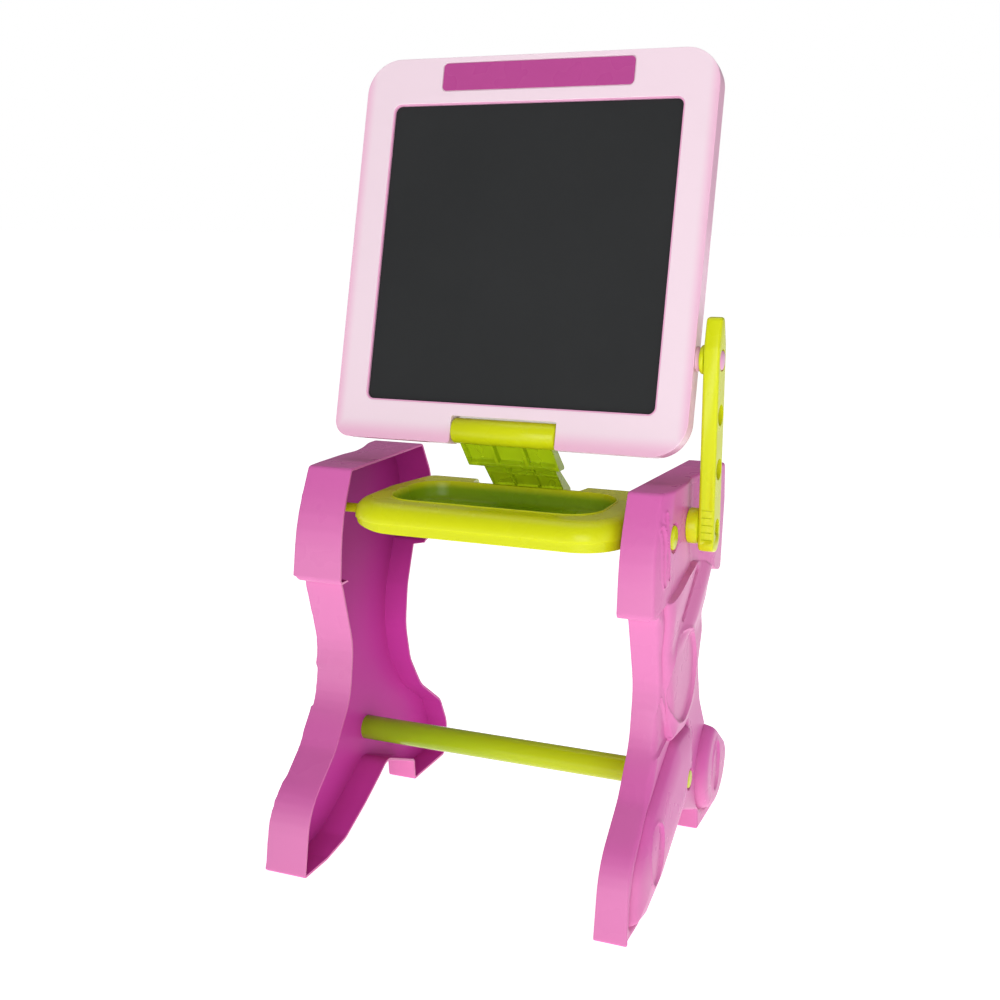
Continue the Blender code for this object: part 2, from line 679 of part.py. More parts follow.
# ---------------------------------------------------------------- assembly

def set_origin(obj, point):
    """Put a moving piece's origin on its joint without moving the piece."""
    obj.data.transform(Matrix.Translation(-Vector(point)))
    obj.matrix_world = Matrix.Translation(point)


def main():
    clear_scene()
    shop = Shop()
    for side in ("left", "right"):
        make_side_panel(shop, side)
        make_tray_plug(shop, side)
        make_bar_plug(shop, side)
    make_crossbar(shop)
    neck = make_neck(shop)
    tray = make_tray(shop)
    make_neck_screws(shop, neck, tray)
    arm = make_arm(shop)
    boss, pin, collar, peg = make_arm_fittings(shop)
    for obj in (arm, boss, pin, collar):
        set_origin(obj, (ARM_INNER, ARM_Y, PIVOT_Z))
    set_origin(peg, (ARM_INNER, ARM_Y, PEG_Z))

    before = set(bpy.data.objects)
    make_board(shop)
    for obj in set(bpy.data.objects) - before:
        obj.matrix_world = board_matrix() @ obj.matrix_world

    shift = Matrix.Translation((-MIDDLE[0], -MIDDLE[1], 0.0))
    for obj in bpy.data.objects:
        obj.matrix_world = shift @ obj.matrix_world


main()
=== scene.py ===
"""The looks of the child's easel desk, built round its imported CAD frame.

Shapes are laid out in metres from the board's centre line and the floor, with X
to the right and Y to the back, and moved by SHIFT into the row frame.
"""

import math

import bmesh
import bpy
import numpy as np
from mathutils import Matrix, Vector
from mathutils.geometry import delaunay_2d_cdt


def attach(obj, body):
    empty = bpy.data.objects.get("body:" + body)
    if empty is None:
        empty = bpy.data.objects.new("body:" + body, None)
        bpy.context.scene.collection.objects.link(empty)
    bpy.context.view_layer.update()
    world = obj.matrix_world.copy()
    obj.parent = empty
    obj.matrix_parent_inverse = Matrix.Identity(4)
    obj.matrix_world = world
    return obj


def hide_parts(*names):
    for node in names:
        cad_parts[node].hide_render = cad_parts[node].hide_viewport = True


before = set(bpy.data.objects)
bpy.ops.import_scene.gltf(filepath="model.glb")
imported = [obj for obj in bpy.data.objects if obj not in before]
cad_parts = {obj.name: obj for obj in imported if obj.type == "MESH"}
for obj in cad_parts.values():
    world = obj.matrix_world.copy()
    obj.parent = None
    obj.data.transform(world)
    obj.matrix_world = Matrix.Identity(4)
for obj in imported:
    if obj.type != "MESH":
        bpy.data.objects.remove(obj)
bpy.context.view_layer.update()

SHIFT = Vector((-0.0040, -0.0629, 0.0))

# Board: x across, t up its face from the window's lower edge, n back into it
BOARD_TILT = math.radians(14.5)
WINDOW_FOOT = Vector((0.0, 0.0369, 0.4710))
BOARD_HALF = 0.1885
BOARD_LOW = -0.0410
BOARD_HIGH = 0.3550
BOARD_CORNER = 0.036
BOARD_TIGHT_CORNER = 0.016
WINDOW_HALF = 0.1545
WINDOW_HIGH = 0.3060
FRAME_DEEP = 0.0150
BOARD_DEEP = 0.0240
NOTCH_HALF = 0.0565
NOTCH_TOP = -0.0130
HINGE_T = -0.0270
HINGE_N = 0.0100
LABEL_HALF = 0.1025
LABEL_T = (0.3205, 0.3487)

# Side panels
PANEL_TOP = 0.4050
WALL = 0.0030
FLOOR_SINK = 0.0125
LEG_SINK = 0.0030
CAP_RIM = {"left": 0.1465, "right": 0.1455}
LEG_RIM = {"left": 0.1545, "right": 0.1520}
RIM_FLARE = {"left": 0.0, "right": 0.0105}
PANEL_OUTER = {"left": 0.1985, "right": 0.1855}
EDGE_ROUND = 0.0026
TRAY_PLUG = (0.0090, 0.3595)
BAR_AXIS = (0.0790, 0.0880)
PIVOT = (0.0640, 0.3600)

# Tray: a deck with a long trough let into it
TRAY_HALF = 0.1440
TRAY_FRONT = -0.0470
TRAY_BACK = 0.1280
TRAY_TOP = 0.3780
TRAY_UNDER = 0.3745
TRAY_LEDGE = 0.3590
TRAY_BOTTOM = 0.3490
TROUGH_HALF = 0.1120
TROUGH_WIDE = 0.1020
TROUGH_MIDDLE = 0.0350

# Neck between tray and board
BARREL_HALF = 0.0555
BARREL_RADIUS = 0.0130
NECK_BLOCK_HALF = 0.0500
NECK_WEB_HALF = 0.0400
NECK_SEAT_HALF = 0.068

# Crossbar
BAR_LEFT = -0.1915
BAR_RIGHT = 0.1785
BAR_RADIUS = 0.0135

# Support arm
ARM_BOTTOM = 0.3370
ARM_TOP = 0.5630
ARM_INNER = 0.1970
ARM_THICK = 0.0155
ARM_Y = 0.0640
ARM_HALF = 0.0145
HOLE_PITCH = 0.0525
HOLE_RADIUS = 0.0105
GROOVE_COUNT = 5
GROOVE_PITCH = 0.0072
GROOVE_HALF = 0.0006
PEG_Z = 0.5223


# ---------------------------------------------------------------- outlines

def rounded(corners, step=math.radians(9)):
    """Closed outline with each corner replaced by an arc of its own radius."""
    outline = []
    count = len(corners)
    for index, (u, v, radius) in enumerate(corners):
        here = Vector((u, v))
        before = Vector(corners[index - 1][:2]) - here
        after = Vector(corners[(index + 1) % count][:2]) - here
        half_angle = before.angle(after) / 2
        reach = radius / math.tan(half_angle)
        reach = min(reach, 0.48 * before.length, 0.48 * after.length)
        radius = reach * math.tan(half_angle)
        bisector = (before.normalized() + after.normalized()).normalized()
        centre = here + bisector * (radius / math.sin(half_angle))
        start = here + before.normalized() * reach - centre
        end = here + after.normalized() * reach - centre
        sweep = start.angle_signed(end)
        steps = max(1, math.ceil(abs(sweep) / step))
        for k in range(steps + 1):
            turn = Matrix.Rotation(-sweep * k / steps, 2)
            outline.append(tuple(centre + turn @ start))
    return outline


def rectangle(u, v):
    return [(u[0], v[0]), (u[1], v[0]), (u[1], v[1]), (u[0], v[1])]


def rounded_box(u, v, radius, step=math.radians(9)):
    return rounded([(*corner, radius) for corner in rectangle(u, v)], step)


def circle(centre, radius, count=64):
    return [
        (centre[0] + radius * math.cos(2 * math.pi * k / count),
         centre[1] + radius * math.sin(2 * math.pi * k / count))
        for k in range(count)
    ]


def ellipse(centre, half_u, half_v, lean=0.0, count=48):
    """Ellipse whose long way leans by an angle from the vertical."""
    points = []
    for k in range(count):
        a = 2 * math.pi * k / count
        u, v = half_u * math.cos(a), half_v * math.sin(a)
        points.append((centre[0] + u * math.cos(lean) + v * math.sin(lean),
                       centre[1] - u * math.sin(lean) + v * math.cos(lean)))
    return points


def dense(outline, spacing, closed=True):
    """The same outline with points no further apart than the spacing."""
    result = []
    count = len(outline)
    for k in range(count if closed else count - 1):
        a = Vector(outline[k])
        b = Vector(outline[(k + 1) % count])
        parts = max(1, math.ceil((b - a).length / spacing))
        for j in range(parts):
            result.append(tuple(a.lerp(b, j / parts)))
    if not closed:
        result.append(tuple(outline[-1]))
    return result


def distance_to(points, line, closed=True):
    """Distance of each point to a polyline, and which points lie inside it."""
    p = np.asarray(points, dtype=float)
    a = np.asarray(line, dtype=float)
    b = np.roll(a, -1, axis=0)
    if not closed:
        a, b = a[:-1], b[:-1]
    nearest = np.full(len(p), 1e9)
    inside = np.zeros(len(p), dtype=bool)
    for (ax, ay), (bx, by) in zip(a, b):
        dx, dy = bx - ax, by - ay
        length2 = max(dx * dx + dy * dy, 1e-18)
        along = np.clip(((p[:, 0] - ax) * dx + (p[:, 1] - ay) * dy) / length2, 0, 1)
        gap = np.hypot(p[:, 0] - ax - along * dx, p[:, 1] - ay - along * dy)
        nearest = np.minimum(nearest, gap)
        if closed and ay != by:
            crosses = (ay > p[:, 1]) != (by > p[:, 1])
            at = ax + (p[:, 1] - ay) * dx / (by - ay)
            inside ^= crosses & (p[:, 0] < at)
    return nearest, inside


def moved_in(outline, distance):
    """Each point of an outline moved inwards, square to the line there."""
    count = len(outline)
    area = sum(outline[k - 1][0] * outline[k][1] - outline[k][0] * outline[k - 1][1]
               for k in range(count))
    side = 1.0 if area > 0 else -1.0
    moved = []
    for k in range(count):
        into = Vector(outline[k]) - Vector(outline[k - 1])
        out = Vector(outline[(k + 1) % count]) - Vector(outline[k])
        tangent = (into.normalized() + out.normalized()).normalized()
        moved.append((outline[k][0] - tangent.y * side * distance,
                      outline[k][1] + tangent.x * side * distance))
    return moved


def inset(outline, distance):
    """Outline moved inwards, dropping the points that would fold over."""
    moved = moved_in(outline, distance)
    gap, inside = distance_to(moved, outline)
    return [q for q, g, i in zip(moved, gap, inside) if i and g > distance * 0.97]


def smooth(low, high, value):
    """Eased step from 0 at low to 1 at high; low may be the larger of the two."""
    s = np.clip((value - low) / (high - low), 0, 1)
    return s * s * (3 - 2 * s)


# ---------------------------------------------------------------- meshes

PLANES = {
    "YZ": Matrix(((0, 0, 1), (1, 0, 0), (0, 1, 0))).to_4x4(),
    "XZ": Matrix(((1, 0, 0), (0, 0, -1), (0, 1, 0))).to_4x4(),
    "XY": Matrix.Identity(4),
}
NORMALS = {"YZ": Vector((1, 0, 0)), "XZ": Vector((0, 1, 0)), "XY": Vector((0, 0, 1))}


def shade(mesh, angle):
    """Smooth shading that breaks at edges sharper than the angle."""
    mesh.shade_smooth()
    mesh.set_sharp_from_angle(angle=math.radians(angle))


def add_object(name, mesh, material, angle=40):
    obj = bpy.data.objects.new(name, mesh)
    bpy.context.scene.collection.objects.link(obj)
    mesh.materials.clear()
    if material is not None:
        mesh.materials.append(material)
    shade(mesh, angle)
    return obj


def prism(name, outlines, plane, low, high, material=None):
    """Flat outline, with holes if more are given, between two heights."""
    curve = bpy.data.curves.new(name, "CURVE")
    curve.dimensions = "2D"
    curve.fill_mode = "BOTH"
    curve.extrude = (high - low) / 2
    for outline in outlines:
        spline = curve.splines.new("POLY")
        spline.points.add(len(outline) - 1)
        for point, (u, v) in zip(spline.points, outline):
            point.co = (u, v, 0.0, 1.0)
        spline.use_cyclic_u = True
    carrier = bpy.data.objects.new(name, curve)
    mesh = bpy.data.meshes.new_from_object(carrier)
    bpy.data.objects.remove(carrier)
    bpy.data.curves.remove(curve)
    mesh.transform(Matrix.Translation(NORMALS[plane] * (low + high) / 2) @ PLANES[plane])
    bm = bmesh.new()
    bm.from_mesh(mesh)
    bmesh.ops.remove_doubles(bm, verts=bm.verts, dist=1e-6)
    bmesh.ops.dissolve_limit(bm, angle_limit=0.001, verts=bm.verts, edges=bm.edges)
    bmesh.ops.recalc_face_normals(bm, faces=bm.faces)
    bm.to_mesh(mesh)
    bm.free()
    return add_object(name, mesh, material)


def turned(name, profile, axis_point, material, count=72):
    """Solid of revolution about a line along X; profile is (x, radius) pairs."""
    bm = bmesh.new()
    rings = []
    for x, radius in profile:
        if radius < 1e-6:
            rings.append([bm.verts.new((x, axis_point[0], axis_point[1]))])
            continue
        ring = []
        for k in range(count):
            a = 2 * math.pi * k / count
            ring.append(bm.verts.new((x, axis_point[0] + radius * math.cos(a),
                                      axis_point[1] + radius * math.sin(a))))
        rings.append(ring)
    for first, second in zip(rings, rings[1:]):
        for k in range(count):
            j = (k + 1) % count
            corners = [first[k % len(first)], first[j % len(first)],
                       second[j % len(second)], second[k % len(second)]]
            unique = list(dict.fromkeys(corners))
            if len(unique) > 2:
                bm.faces.new(unique)
    bmesh.ops.recalc_face_normals(bm, faces=bm.faces)
    mesh = bpy.data.meshes.new(name)
    bm.to_mesh(mesh)
    bm.free()
    return add_object(name, mesh, material, angle=50)


def cut(target, tool):
    """Takes the tool's shape out of the target at once and removes the tool."""
    modifier = target.modifiers.new("cut", "BOOLEAN")
    modifier.operation = "DIFFERENCE"
    modifier.solver = "EXACT"
    modifier.object = tool
    apply_modifiers(target)
    bpy.data.objects.remove(tool)


def apply_modifiers(obj):
    """Gives the object the mesh that its modifiers make."""
    bpy.context.view_layer.update()
    evaluated = obj.evaluated_get(bpy.context.evaluated_depsgraph_get())
    mesh = bpy.data.meshes.new_from_object(evaluated)
    obj.modifiers.clear()
    obj.data = mesh


def soften(obj, width, segments=4, limit="ANGLE"):
    """Rounds the sharp or the marked edges and keeps the flat faces flat."""
    modifier = obj.modifiers.new("edge_rounding", "BEVEL")
    modifier.width = width
    modifier.segments = segments
    modifier.limit_method = limit
    modifier.angle_limit = math.radians(35)
    modifier.harden_normals = True
    obj.data.shade_smooth()


def place(obj, body, *nodes, slot):
    """Moves a piece to the row frame and fixes it to its body."""
    obj.data.transform(Matrix.Translation(SHIFT))
    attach(obj, body)
    if nodes:
        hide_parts(*nodes)


# ---------------------------------------------------------------- materials

GRAIN_SCALE = 2400.0
GRAIN_HEIGHT = 0.00005
LIME_SCATTER = {"Subsurface_Weight": 0.10, "Subsurface_Scale": 0.01,
                "Subsurface_Radius": (1.0, 1.0, 0.2)}


class Recipe:
    """Short names for building one material's nodes."""

    def __init__(self, name):
        self.material = bpy.data.materials.new(name)
        self.material.use_nodes = True
        self.tree = self.material.node_tree
        self.shader = self.tree.nodes["Principled BSDF"]
        self.coords = self.tree.nodes.new("ShaderNodeTexCoord").outputs["Object"]

    def link(self, source, target):
        self.tree.links.new(source, target)

    def noise(self, scale, detail=3.0, stretch=(1, 1, 1)):
        mapping = self.tree.nodes.new("ShaderNodeMapping")
        mapping.inputs["Scale"].default_value = stretch
        self.link(self.coords, mapping.inputs["Vector"])
        texture = self.tree.nodes.new("ShaderNodeTexNoise")
        texture.inputs["Scale"].default_value = scale
        texture.inputs["Detail"].default_value = detail
        self.link(mapping.outputs["Vector"], texture.inputs["Vector"])
        return texture.outputs["Fac"]

    def ramp(self, fac, dark, light):
        """Two tones of one colour, told apart by a factor."""
        ramp = self.tree.nodes.new("ShaderNodeValToRGB")
        for element, position, colour in zip(ramp.color_ramp.elements, (0.3, 0.7), (dark, light)):
            element.position = position
            element.color = (*colour, 1.0)
        self.link(fac, ramp.inputs["Fac"])
        return ramp.outputs["Color"]

    def cloud(self, dark, light):
        """Two near tones of one colour, drifting softly into each other."""
        return self.ramp(self.noise(4.0, 1.0), dark, light)

    def math(self, operation, *values):
        node = self.tree.nodes.new("ShaderNodeMath")
        node.operation = operation
        for socket, value in zip(node.inputs, values):
            if isinstance(value, (int, float)):
                socket.default_value = value
            else:
                self.link(value, socket)
        return node.outputs["Value"]

    def mix(self, fac, a, b):
        node = self.tree.nodes.new("ShaderNodeMix")
        node.data_type = "RGBA"
        self.link(fac, node.inputs["Factor"])
        for socket, value in ((node.inputs[6], a), (node.inputs[7], b)):
            if isinstance(value, tuple):
                socket.default_value = (*value, 1.0)
            else:
                self.link(value, socket)
        return node.outputs[2]

    def axes(self):
        node = self.tree.nodes.new("ShaderNodeSeparateXYZ")
        self.link(self.coords, node.inputs["Vector"])
        return node.outputs["X"], node.outputs["Y"], node.outputs["Z"]

    def band(self, value, low, high):
        """Eased step from 0 at low to 1 at high."""
        node = self.tree.nodes.new("ShaderNodeMapRange")
        node.interpolation_type = "SMOOTHSTEP"
        node.inputs["From Min"].default_value = low
        node.inputs["From Max"].default_value = high
        self.link(value, node.inputs["Value"])
        return node.outputs["Result"]

    def bump(self, height, strength, distance):
        node = self.tree.nodes.new("ShaderNodeBump")
        node.inputs["Strength"].default_value = strength
        node.inputs["Distance"].default_value = distance
        self.link(height, node.inputs["Height"])
        self.link(node.outputs["Normal"], self.shader.inputs["Normal"])

    def roughness(self, fac, low, high):
        value = self.math("MULTIPLY_ADD", fac, high - low, low)
        self.link(value, self.shader.inputs["Roughness"])

    def colour(self, source):
        self.link(source, self.shader.inputs["Base Color"])

    def moulded(self, source, low, high):
        """Base colour with the uneven gloss and fine grain of moulded plastic."""
        self.colour(source)
        self.roughness(self.noise(30.0, 2.0), low, high)
        self.bump(self.noise(GRAIN_SCALE, 1.0), 0.05, GRAIN_HEIGHT)

    def set(self, **values):
        for name, value in values.items():
            self.shader.inputs[name.replace("_", " ")].default_value = value


def make_plastic(name, dark, light, low=0.22, high=0.34, **extra):
    """Moulded plastic of one colour; low and high bound its roughness."""
    recipe = Recipe(name)
    recipe.moulded(recipe.cloud(dark, light), low, high)
    recipe.set(Specular_IOR_Level=0.22, **extra)
    return recipe.material


def make_shaded_inside():
    """Magenta inside the hollow panels with painted shade: a darker copy of the outer magenta,
    darker still high up where the cap closes over it.
    """
    recipe = Recipe("magenta_plastic_inside")
    _, _, z = recipe.axes()
    # Painted shade: both tones are darker than the outer magenta, and the deeper one fills the
    # upper inside under the cap.
    deep = recipe.cloud((0.330, 0.022, 0.200), (0.340, 0.024, 0.208))
    bright = recipe.cloud((0.590, 0.055, 0.390), (0.600, 0.058, 0.400))
    recipe.moulded(recipe.mix(recipe.band(z, 0.180, 0.340), bright, deep), 0.35, 0.45)
    recipe.set(Specular_IOR_Level=0.06)
    return recipe.material


def make_magenta():
    """Magenta with painted light and shade: pinker down the straight parts of the legs and the
    cap's lower part, deeper on the cap's top and at the knee.
    """
    recipe = Recipe("magenta_plastic")
    _, _, z = recipe.axes()
    # Painted light: the pinker tone stands in for the front light on the upright faces; the deeper
    # tone at the knee and the cap's top is painted shade.
    below_cap = recipe.band(z, 0.400, 0.300)
    knee = recipe.math("MULTIPLY", recipe.band(z, 0.185, 0.125), recipe.band(z, 0.045, 0.085))
    pale = recipe.math("MULTIPLY", below_cap, recipe.math("SUBTRACT", 1.0, knee))
    deep = recipe.cloud((0.640, 0.132, 0.410), (0.655, 0.136, 0.420))
    pink = recipe.cloud((0.690, 0.205, 0.450), (0.700, 0.212, 0.460))
    recipe.moulded(recipe.mix(pale, deep, pink), 0.24, 0.32)
    recipe.set(Specular_IOR_Level=0.11)
    return recipe.material


def make_bar_lime():
    """See-through lime with painted shade: darker and greener towards the end that sits deep in the
    left panel.
    """
    recipe = Recipe("crossbar_lime_plastic")
    x, _, _ = recipe.axes()
    # Painted shade: the darker green tone on the left part of the bar, inside and near the left
    # panel.
    shaded_green = recipe.cloud((0.33, 0.56, 0.010), (0.34, 0.57, 0.012))
    yellow = recipe.cloud((0.62, 0.74, 0.010), (0.63, 0.75, 0.012))
    recipe.moulded(recipe.mix(recipe.band(x, -0.19, 0.06), shaded_green, yellow), 0.18, 0.26)
    recipe.set(Transmission_Weight=0.20, IOR=1.45, Specular_IOR_Level=0.3)
    return recipe.material


def make_tray_lime():
    """Lime with painted shade down in the trough, which turns deeper and greener there."""
    recipe = Recipe("tray_lime_plastic")
    x, y, z = recipe.axes()
    within = []
    for axis, middle, half in ((x, SHIFT.x, TROUGH_HALF),
                               (y, TROUGH_MIDDLE + SHIFT.y, TROUGH_WIDE / 2)):
        off_middle = recipe.math("ABSOLUTE", recipe.math("SUBTRACT", axis, middle))
        within.append(recipe.band(off_middle, half + 0.0006, half - 0.0002))
    # Painted shade: the trough's walls and floor take a darker, greener tone than the deck.
    down = recipe.band(z, TRAY_TOP + 0.0002, TRAY_TOP - 0.0080)
    rim = recipe.cloud((0.615, 0.655, 0.006), (0.625, 0.665, 0.007))
    deep = recipe.cloud((0.265, 0.430, 0.008), (0.275, 0.440, 0.009))
    trough_shade = recipe.math("MULTIPLY", recipe.math("MULTIPLY", *within), down)
    recipe.moulded(recipe.mix(trough_shade, rim, deep), 0.22, 0.32)
    recipe.set(Specular_IOR_Level=0.22, **LIME_SCATTER)
    return recipe.material


def make_steel():
    """Zinc-plated steel with fine drawing marks along its length."""
    recipe = Recipe("zinc_steel")
    brushed = recipe.noise(180.0, 3.0, stretch=(0.1, 1, 1))
    recipe.colour(recipe.ramp(brushed, (0.46, 0.46, 0.45), (0.66, 0.66, 0.64)))
    recipe.roughness(brushed, 0.25, 0.42)
    recipe.bump(brushed, 0.15, 0.0003)
    recipe.set(Metallic=1.0)
    return recipe.material


def make_board_pink():
    """Pale pink that turns pinker towards the board's outer edge."""
    recipe = Recipe("pale_pink_plastic")
    x, _, z = recipe.axes()
    across = recipe.math("ABSOLUTE", recipe.math("SUBTRACT", x, SHIFT.x))
    side = recipe.band(across, BOARD_HALF - 0.012, BOARD_HALF + 0.001)
    foot = recipe.band(z, 0.452, 0.434)
    face = recipe.cloud((0.855, 0.675, 0.762), (0.865, 0.685, 0.772))
    recipe.colour(recipe.mix(recipe.math("MAXIMUM", side, foot), face, (0.83, 0.47, 0.64)))
    recipe.roughness(recipe.noise(60.0, 4.0), 0.26, 0.36)
    recipe.bump(recipe.noise(GRAIN_SCALE, 1.0), 0.05, GRAIN_HEIGHT)
    recipe.set(Coat_Weight=0.3, Coat_Roughness=0.15)
    return recipe.material


def make_black():
    """Chalk-black sheet: fine grain and the faint cloud of wiped chalk."""
    recipe = Recipe("black_board")
    recipe.colour(recipe.ramp(recipe.noise(6.0, 4.0), (0.024, 0.025, 0.026), (0.027, 0.028, 0.029)))
    recipe.roughness(recipe.noise(40.0, 5.0), 0.62, 0.80)
    recipe.bump(recipe.noise(GRAIN_SCALE, 1.0), 0.10, 2 * GRAIN_HEIGHT)
    recipe.set(Specular_IOR_Level=0.10)
    return recipe.material


LIME = make_plastic("lime_plastic", (0.615, 0.655, 0.006), (0.625, 0.665, 0.007), **LIME_SCATTER)
CLEAR_LIME = make_plastic("clear_lime_plastic", (0.59, 0.77, 0.010), (0.60, 0.78, 0.012),
                          low=0.24, high=0.30, Transmission_Weight=0.45, IOR=1.45)
PLUM = make_plastic("plum_plastic", (0.45, 0.066, 0.268), (0.46, 0.068, 0.275))
PEG_PINK = make_plastic("peg_pink_plastic", (0.78, 0.345, 0.565), (0.80, 0.36, 0.58))
LIP_PINK = make_plastic("lip_pink_plastic", (0.77, 0.36, 0.56), (0.80, 0.40, 0.60))
SHADED_INSIDE = make_shaded_inside()
STEEL = make_steel()
TRAY_LIME = make_tray_lime()
BAR_LIME = make_bar_lime()
MAGENTA = make_magenta()
BOARD_PINK = make_board_pink()
BLACK = make_black()


# ---------------------------------------------------------------- side panels

TOP_BACK = {"left": 0.1520, "right": 0.1720}
PANEL = [
    (0.1750, 0.3650, 0.040),
    (0.1660, 0.2925, 0.009), (0.1560, 0.2905, 0.003), (0.1360, 0.2430, 0.060),
    (0.1290, 0.1980, 0.060), (0.1410, 0.1540, 0.040), (0.1700, 0.1130, 0.050),
    (0.2220, 0.0760, 0.030), (0.2420, 0.0380, 0.030), (0.2310, 0.0000, 0.006),
    (0.1475, 0.0000, 0.003), (0.1450, 0.0240, 0.004), (0.0700, 0.0560, 0.020),
    (0.0160, 0.0270, 0.050), (-0.0300, 0.0060, 0.030), (-0.0700, 0.0000, 0.004),
    (-0.1160, 0.0000, 0.003), (-0.1035, 0.0680, 0.070), (-0.0480, 0.1130, 0.050),
    (-0.0150, 0.1580, 0.060), (-0.0055, 0.2130, 0.070), (-0.0240, 0.2780, 0.080),
    (-0.0275, 0.2890, 0.002), (-0.0430, 0.2890, 0.006), (-0.0375, 0.3520, 0.150),
    (-0.0135, PANEL_TOP, 0.005),
]
CAP_BORDER = [
    (-0.0600, 0.2920), (-0.0300, 0.2955), (0.0125, 0.3035), (0.0478, 0.3125),
    (0.0850, 0.3180), (0.1150, 0.3120), (0.1400, 0.2975), (0.1560, 0.2925),
    (0.1800, 0.2920),
]
LEG_LOBE = rounded([
    (0.0135, 0.1520, 0.006), (0.0600, 0.1490, 0.020), (0.0950, 0.1680, 0.030),
    (0.1100, 0.2120, 0.080), (0.1300, 0.2600, 0.050), (0.1460, 0.3300, 0.010),
    (-0.0150, 0.3300, 0.010), (-0.0050, 0.2400, 0.080), (0.0060, 0.1900, 0.060),
])
FOOT_LOBE = rounded([
    (0.0880, 0.1480, 0.012), (0.0300, 0.1470, 0.030), (-0.0500, 0.1020, 0.060),
    (-0.0900, 0.0600, 0.050), (-0.1010, 0.0100, 0.008), (-0.0660, 0.0060, 0.010),
    (-0.0150, 0.0190, 0.050), (0.0300, 0.0420, 0.050), (0.0780, 0.0660, 0.030),
    (0.1000, 0.1000, 0.030),
])
HEEL_LOBE = circle((0.1850, 0.0650), 0.0520)
HEEL_DISH = ellipse((0.1800, 0.0640), 0.0150, 0.0300)
LONG_DISH = ellipse((0.0450, 0.2120), 0.0430, 0.0470, lean=0.10)
FOOT_DISH = ellipse((-0.0430, 0.0610), 0.0200, 0.0310, lean=0.12)
FACET = rounded([(-0.0030, 0.2050, 0.001), (0.0160, 0.1570, 0.001), (-0.0290, 0.1440, 0.001)])
SLOT = [(0.0960, 0.3080), (0.0450, 0.2700)]
WAVES = [
    [(-0.0205, 0.3740), (-0.0190, 0.3640), (-0.0205, 0.3480), (-0.0215, 0.3320),
     (-0.0205, 0.3210)],
    [(-0.0110, 0.3850), (-0.0135, 0.3740), (-0.0125, 0.3570), (-0.0110, 0.3410),
     (-0.0085, 0.3250)],
]
PIT_DEPTH = 0.0016

# Height and outer x of the front edge, on the cap and on the leg
CAP_EDGE = {"left": [(0.289, 0.2030), (PANEL_TOP, 0.1970)],
            "right": [(0.289, 0.1815), (PANEL_TOP, 0.1770)]}
LEG_EDGE = {"left": [(0.0, 0.2030), (0.060, 0.2025), (0.120, 0.2000), (0.200, 0.1985),
                     (0.290, 0.1995)],
            "right": [(0.0, 0.1860), (0.030, 0.1840), (0.060, 0.1815), (0.090, 0.1790),
                      (0.120, 0.1770), (0.200, 0.1780), (0.290, 0.1780)]}
CAP_BLEND = 0.030
LEG_BLEND = 0.012

# Spacing of the skin's points, on the outside, on the inner floor and along creases
SKIN_STEP = 0.0014
FLOOR_STEP = 0.0060
CREASE_STEP = 0.002


def ridge(gap, width):
    """Bell-shaped profile of a rib or groove, 1 at its middle."""
    return np.exp(-(gap / width) ** 2)


def pillow(points, line, height, reach):
    """Rounded rise inside an outline: steep at its edge, flat in its middle."""
    gap, inside = distance_to(points, line)
    s = np.clip(gap / reach, 0, 1)
    return np.where(inside, height * np.sqrt(1 - (1 - s) ** 2), 0.0)


def dish(points, line, depth, rim):
    """Shallow oval sunk into the surface with a raised rim round it."""
    gap, inside = distance_to(points, line)
    sunk = np.where(inside, depth * smooth(0.0, 0.0022, gap), 0.0)
    return rim * ridge(gap, 0.0022) - sunk


def cap_share(points):
    """1 on the cap, 0 on the leg below its lower border."""
    line = np.asarray(CAP_BORDER)
    border = np.interp(points[:, 0], line[:, 0], line[:, 1])
    return smooth(-0.0007, 0.0007, points[:, 1] - border)


def relief(points):
    """Height of the outer skin's broad shapes over the cap's flat wall, in metres."""
    y, z = points[:, 0], points[:, 1]
    cap = cap_share(points)
    hub = 0.0085 * smooth(0.098, 0.140, y)
    on_cap = hub - 0.0030 * ridge(y - 0.082, 0.016) * smooth(0.30, 0.34, z)

    waist = ridge(z - 0.215, 0.060) * (1 - smooth(-0.010, 0.030, y))
    leg = -LEG_SINK - 0.0020 * waist + pillow(points, LEG_LOBE, 0.0075, 0.014)
    past_slot = (y - SLOT[1][0]) * 0.60 - (z - SLOT[1][1]) * 0.80
    folds = (0.0035 * ridge(past_slot - 0.022, 0.013) + 0.0015 * ridge(past_slot + 0.040, 0.014)
             - 0.0035 * ridge(past_slot, 0.012) - 0.0040 * smooth(0.040, 0.060, past_slot))
    leg = leg + folds * smooth(0.235, 0.265, z)

    foot_gap, in_foot = distance_to(points, FOOT_LOBE)
    foot = -LEG_SINK + pillow(points, FOOT_LOBE, 0.0095, 0.030)
    leg = np.where(in_foot, foot, leg) - 0.0040 * ridge(foot_gap, 0.0028)

    heel_gap, in_heel = distance_to(points, HEEL_LOBE)
    heel = pillow(points, HEEL_LOBE, 0.0105, 0.014) - LEG_SINK
    clear = smooth(0.0, 0.0060, np.where(in_foot, 0.0, foot_gap))
    leg = np.where(in_heel, leg + clear * (heel - leg), leg)
    leg = leg - clear * 0.0030 * ridge(heel_gap, 0.0024)
    flat = 1 - smooth(0.0130, 0.0180, np.hypot(y - BAR_AXIS[0], z - BAR_AXIS[1]))
    leg = leg + flat * (0.0036 - leg)
    return cap * on_cap + (1 - cap) * leg


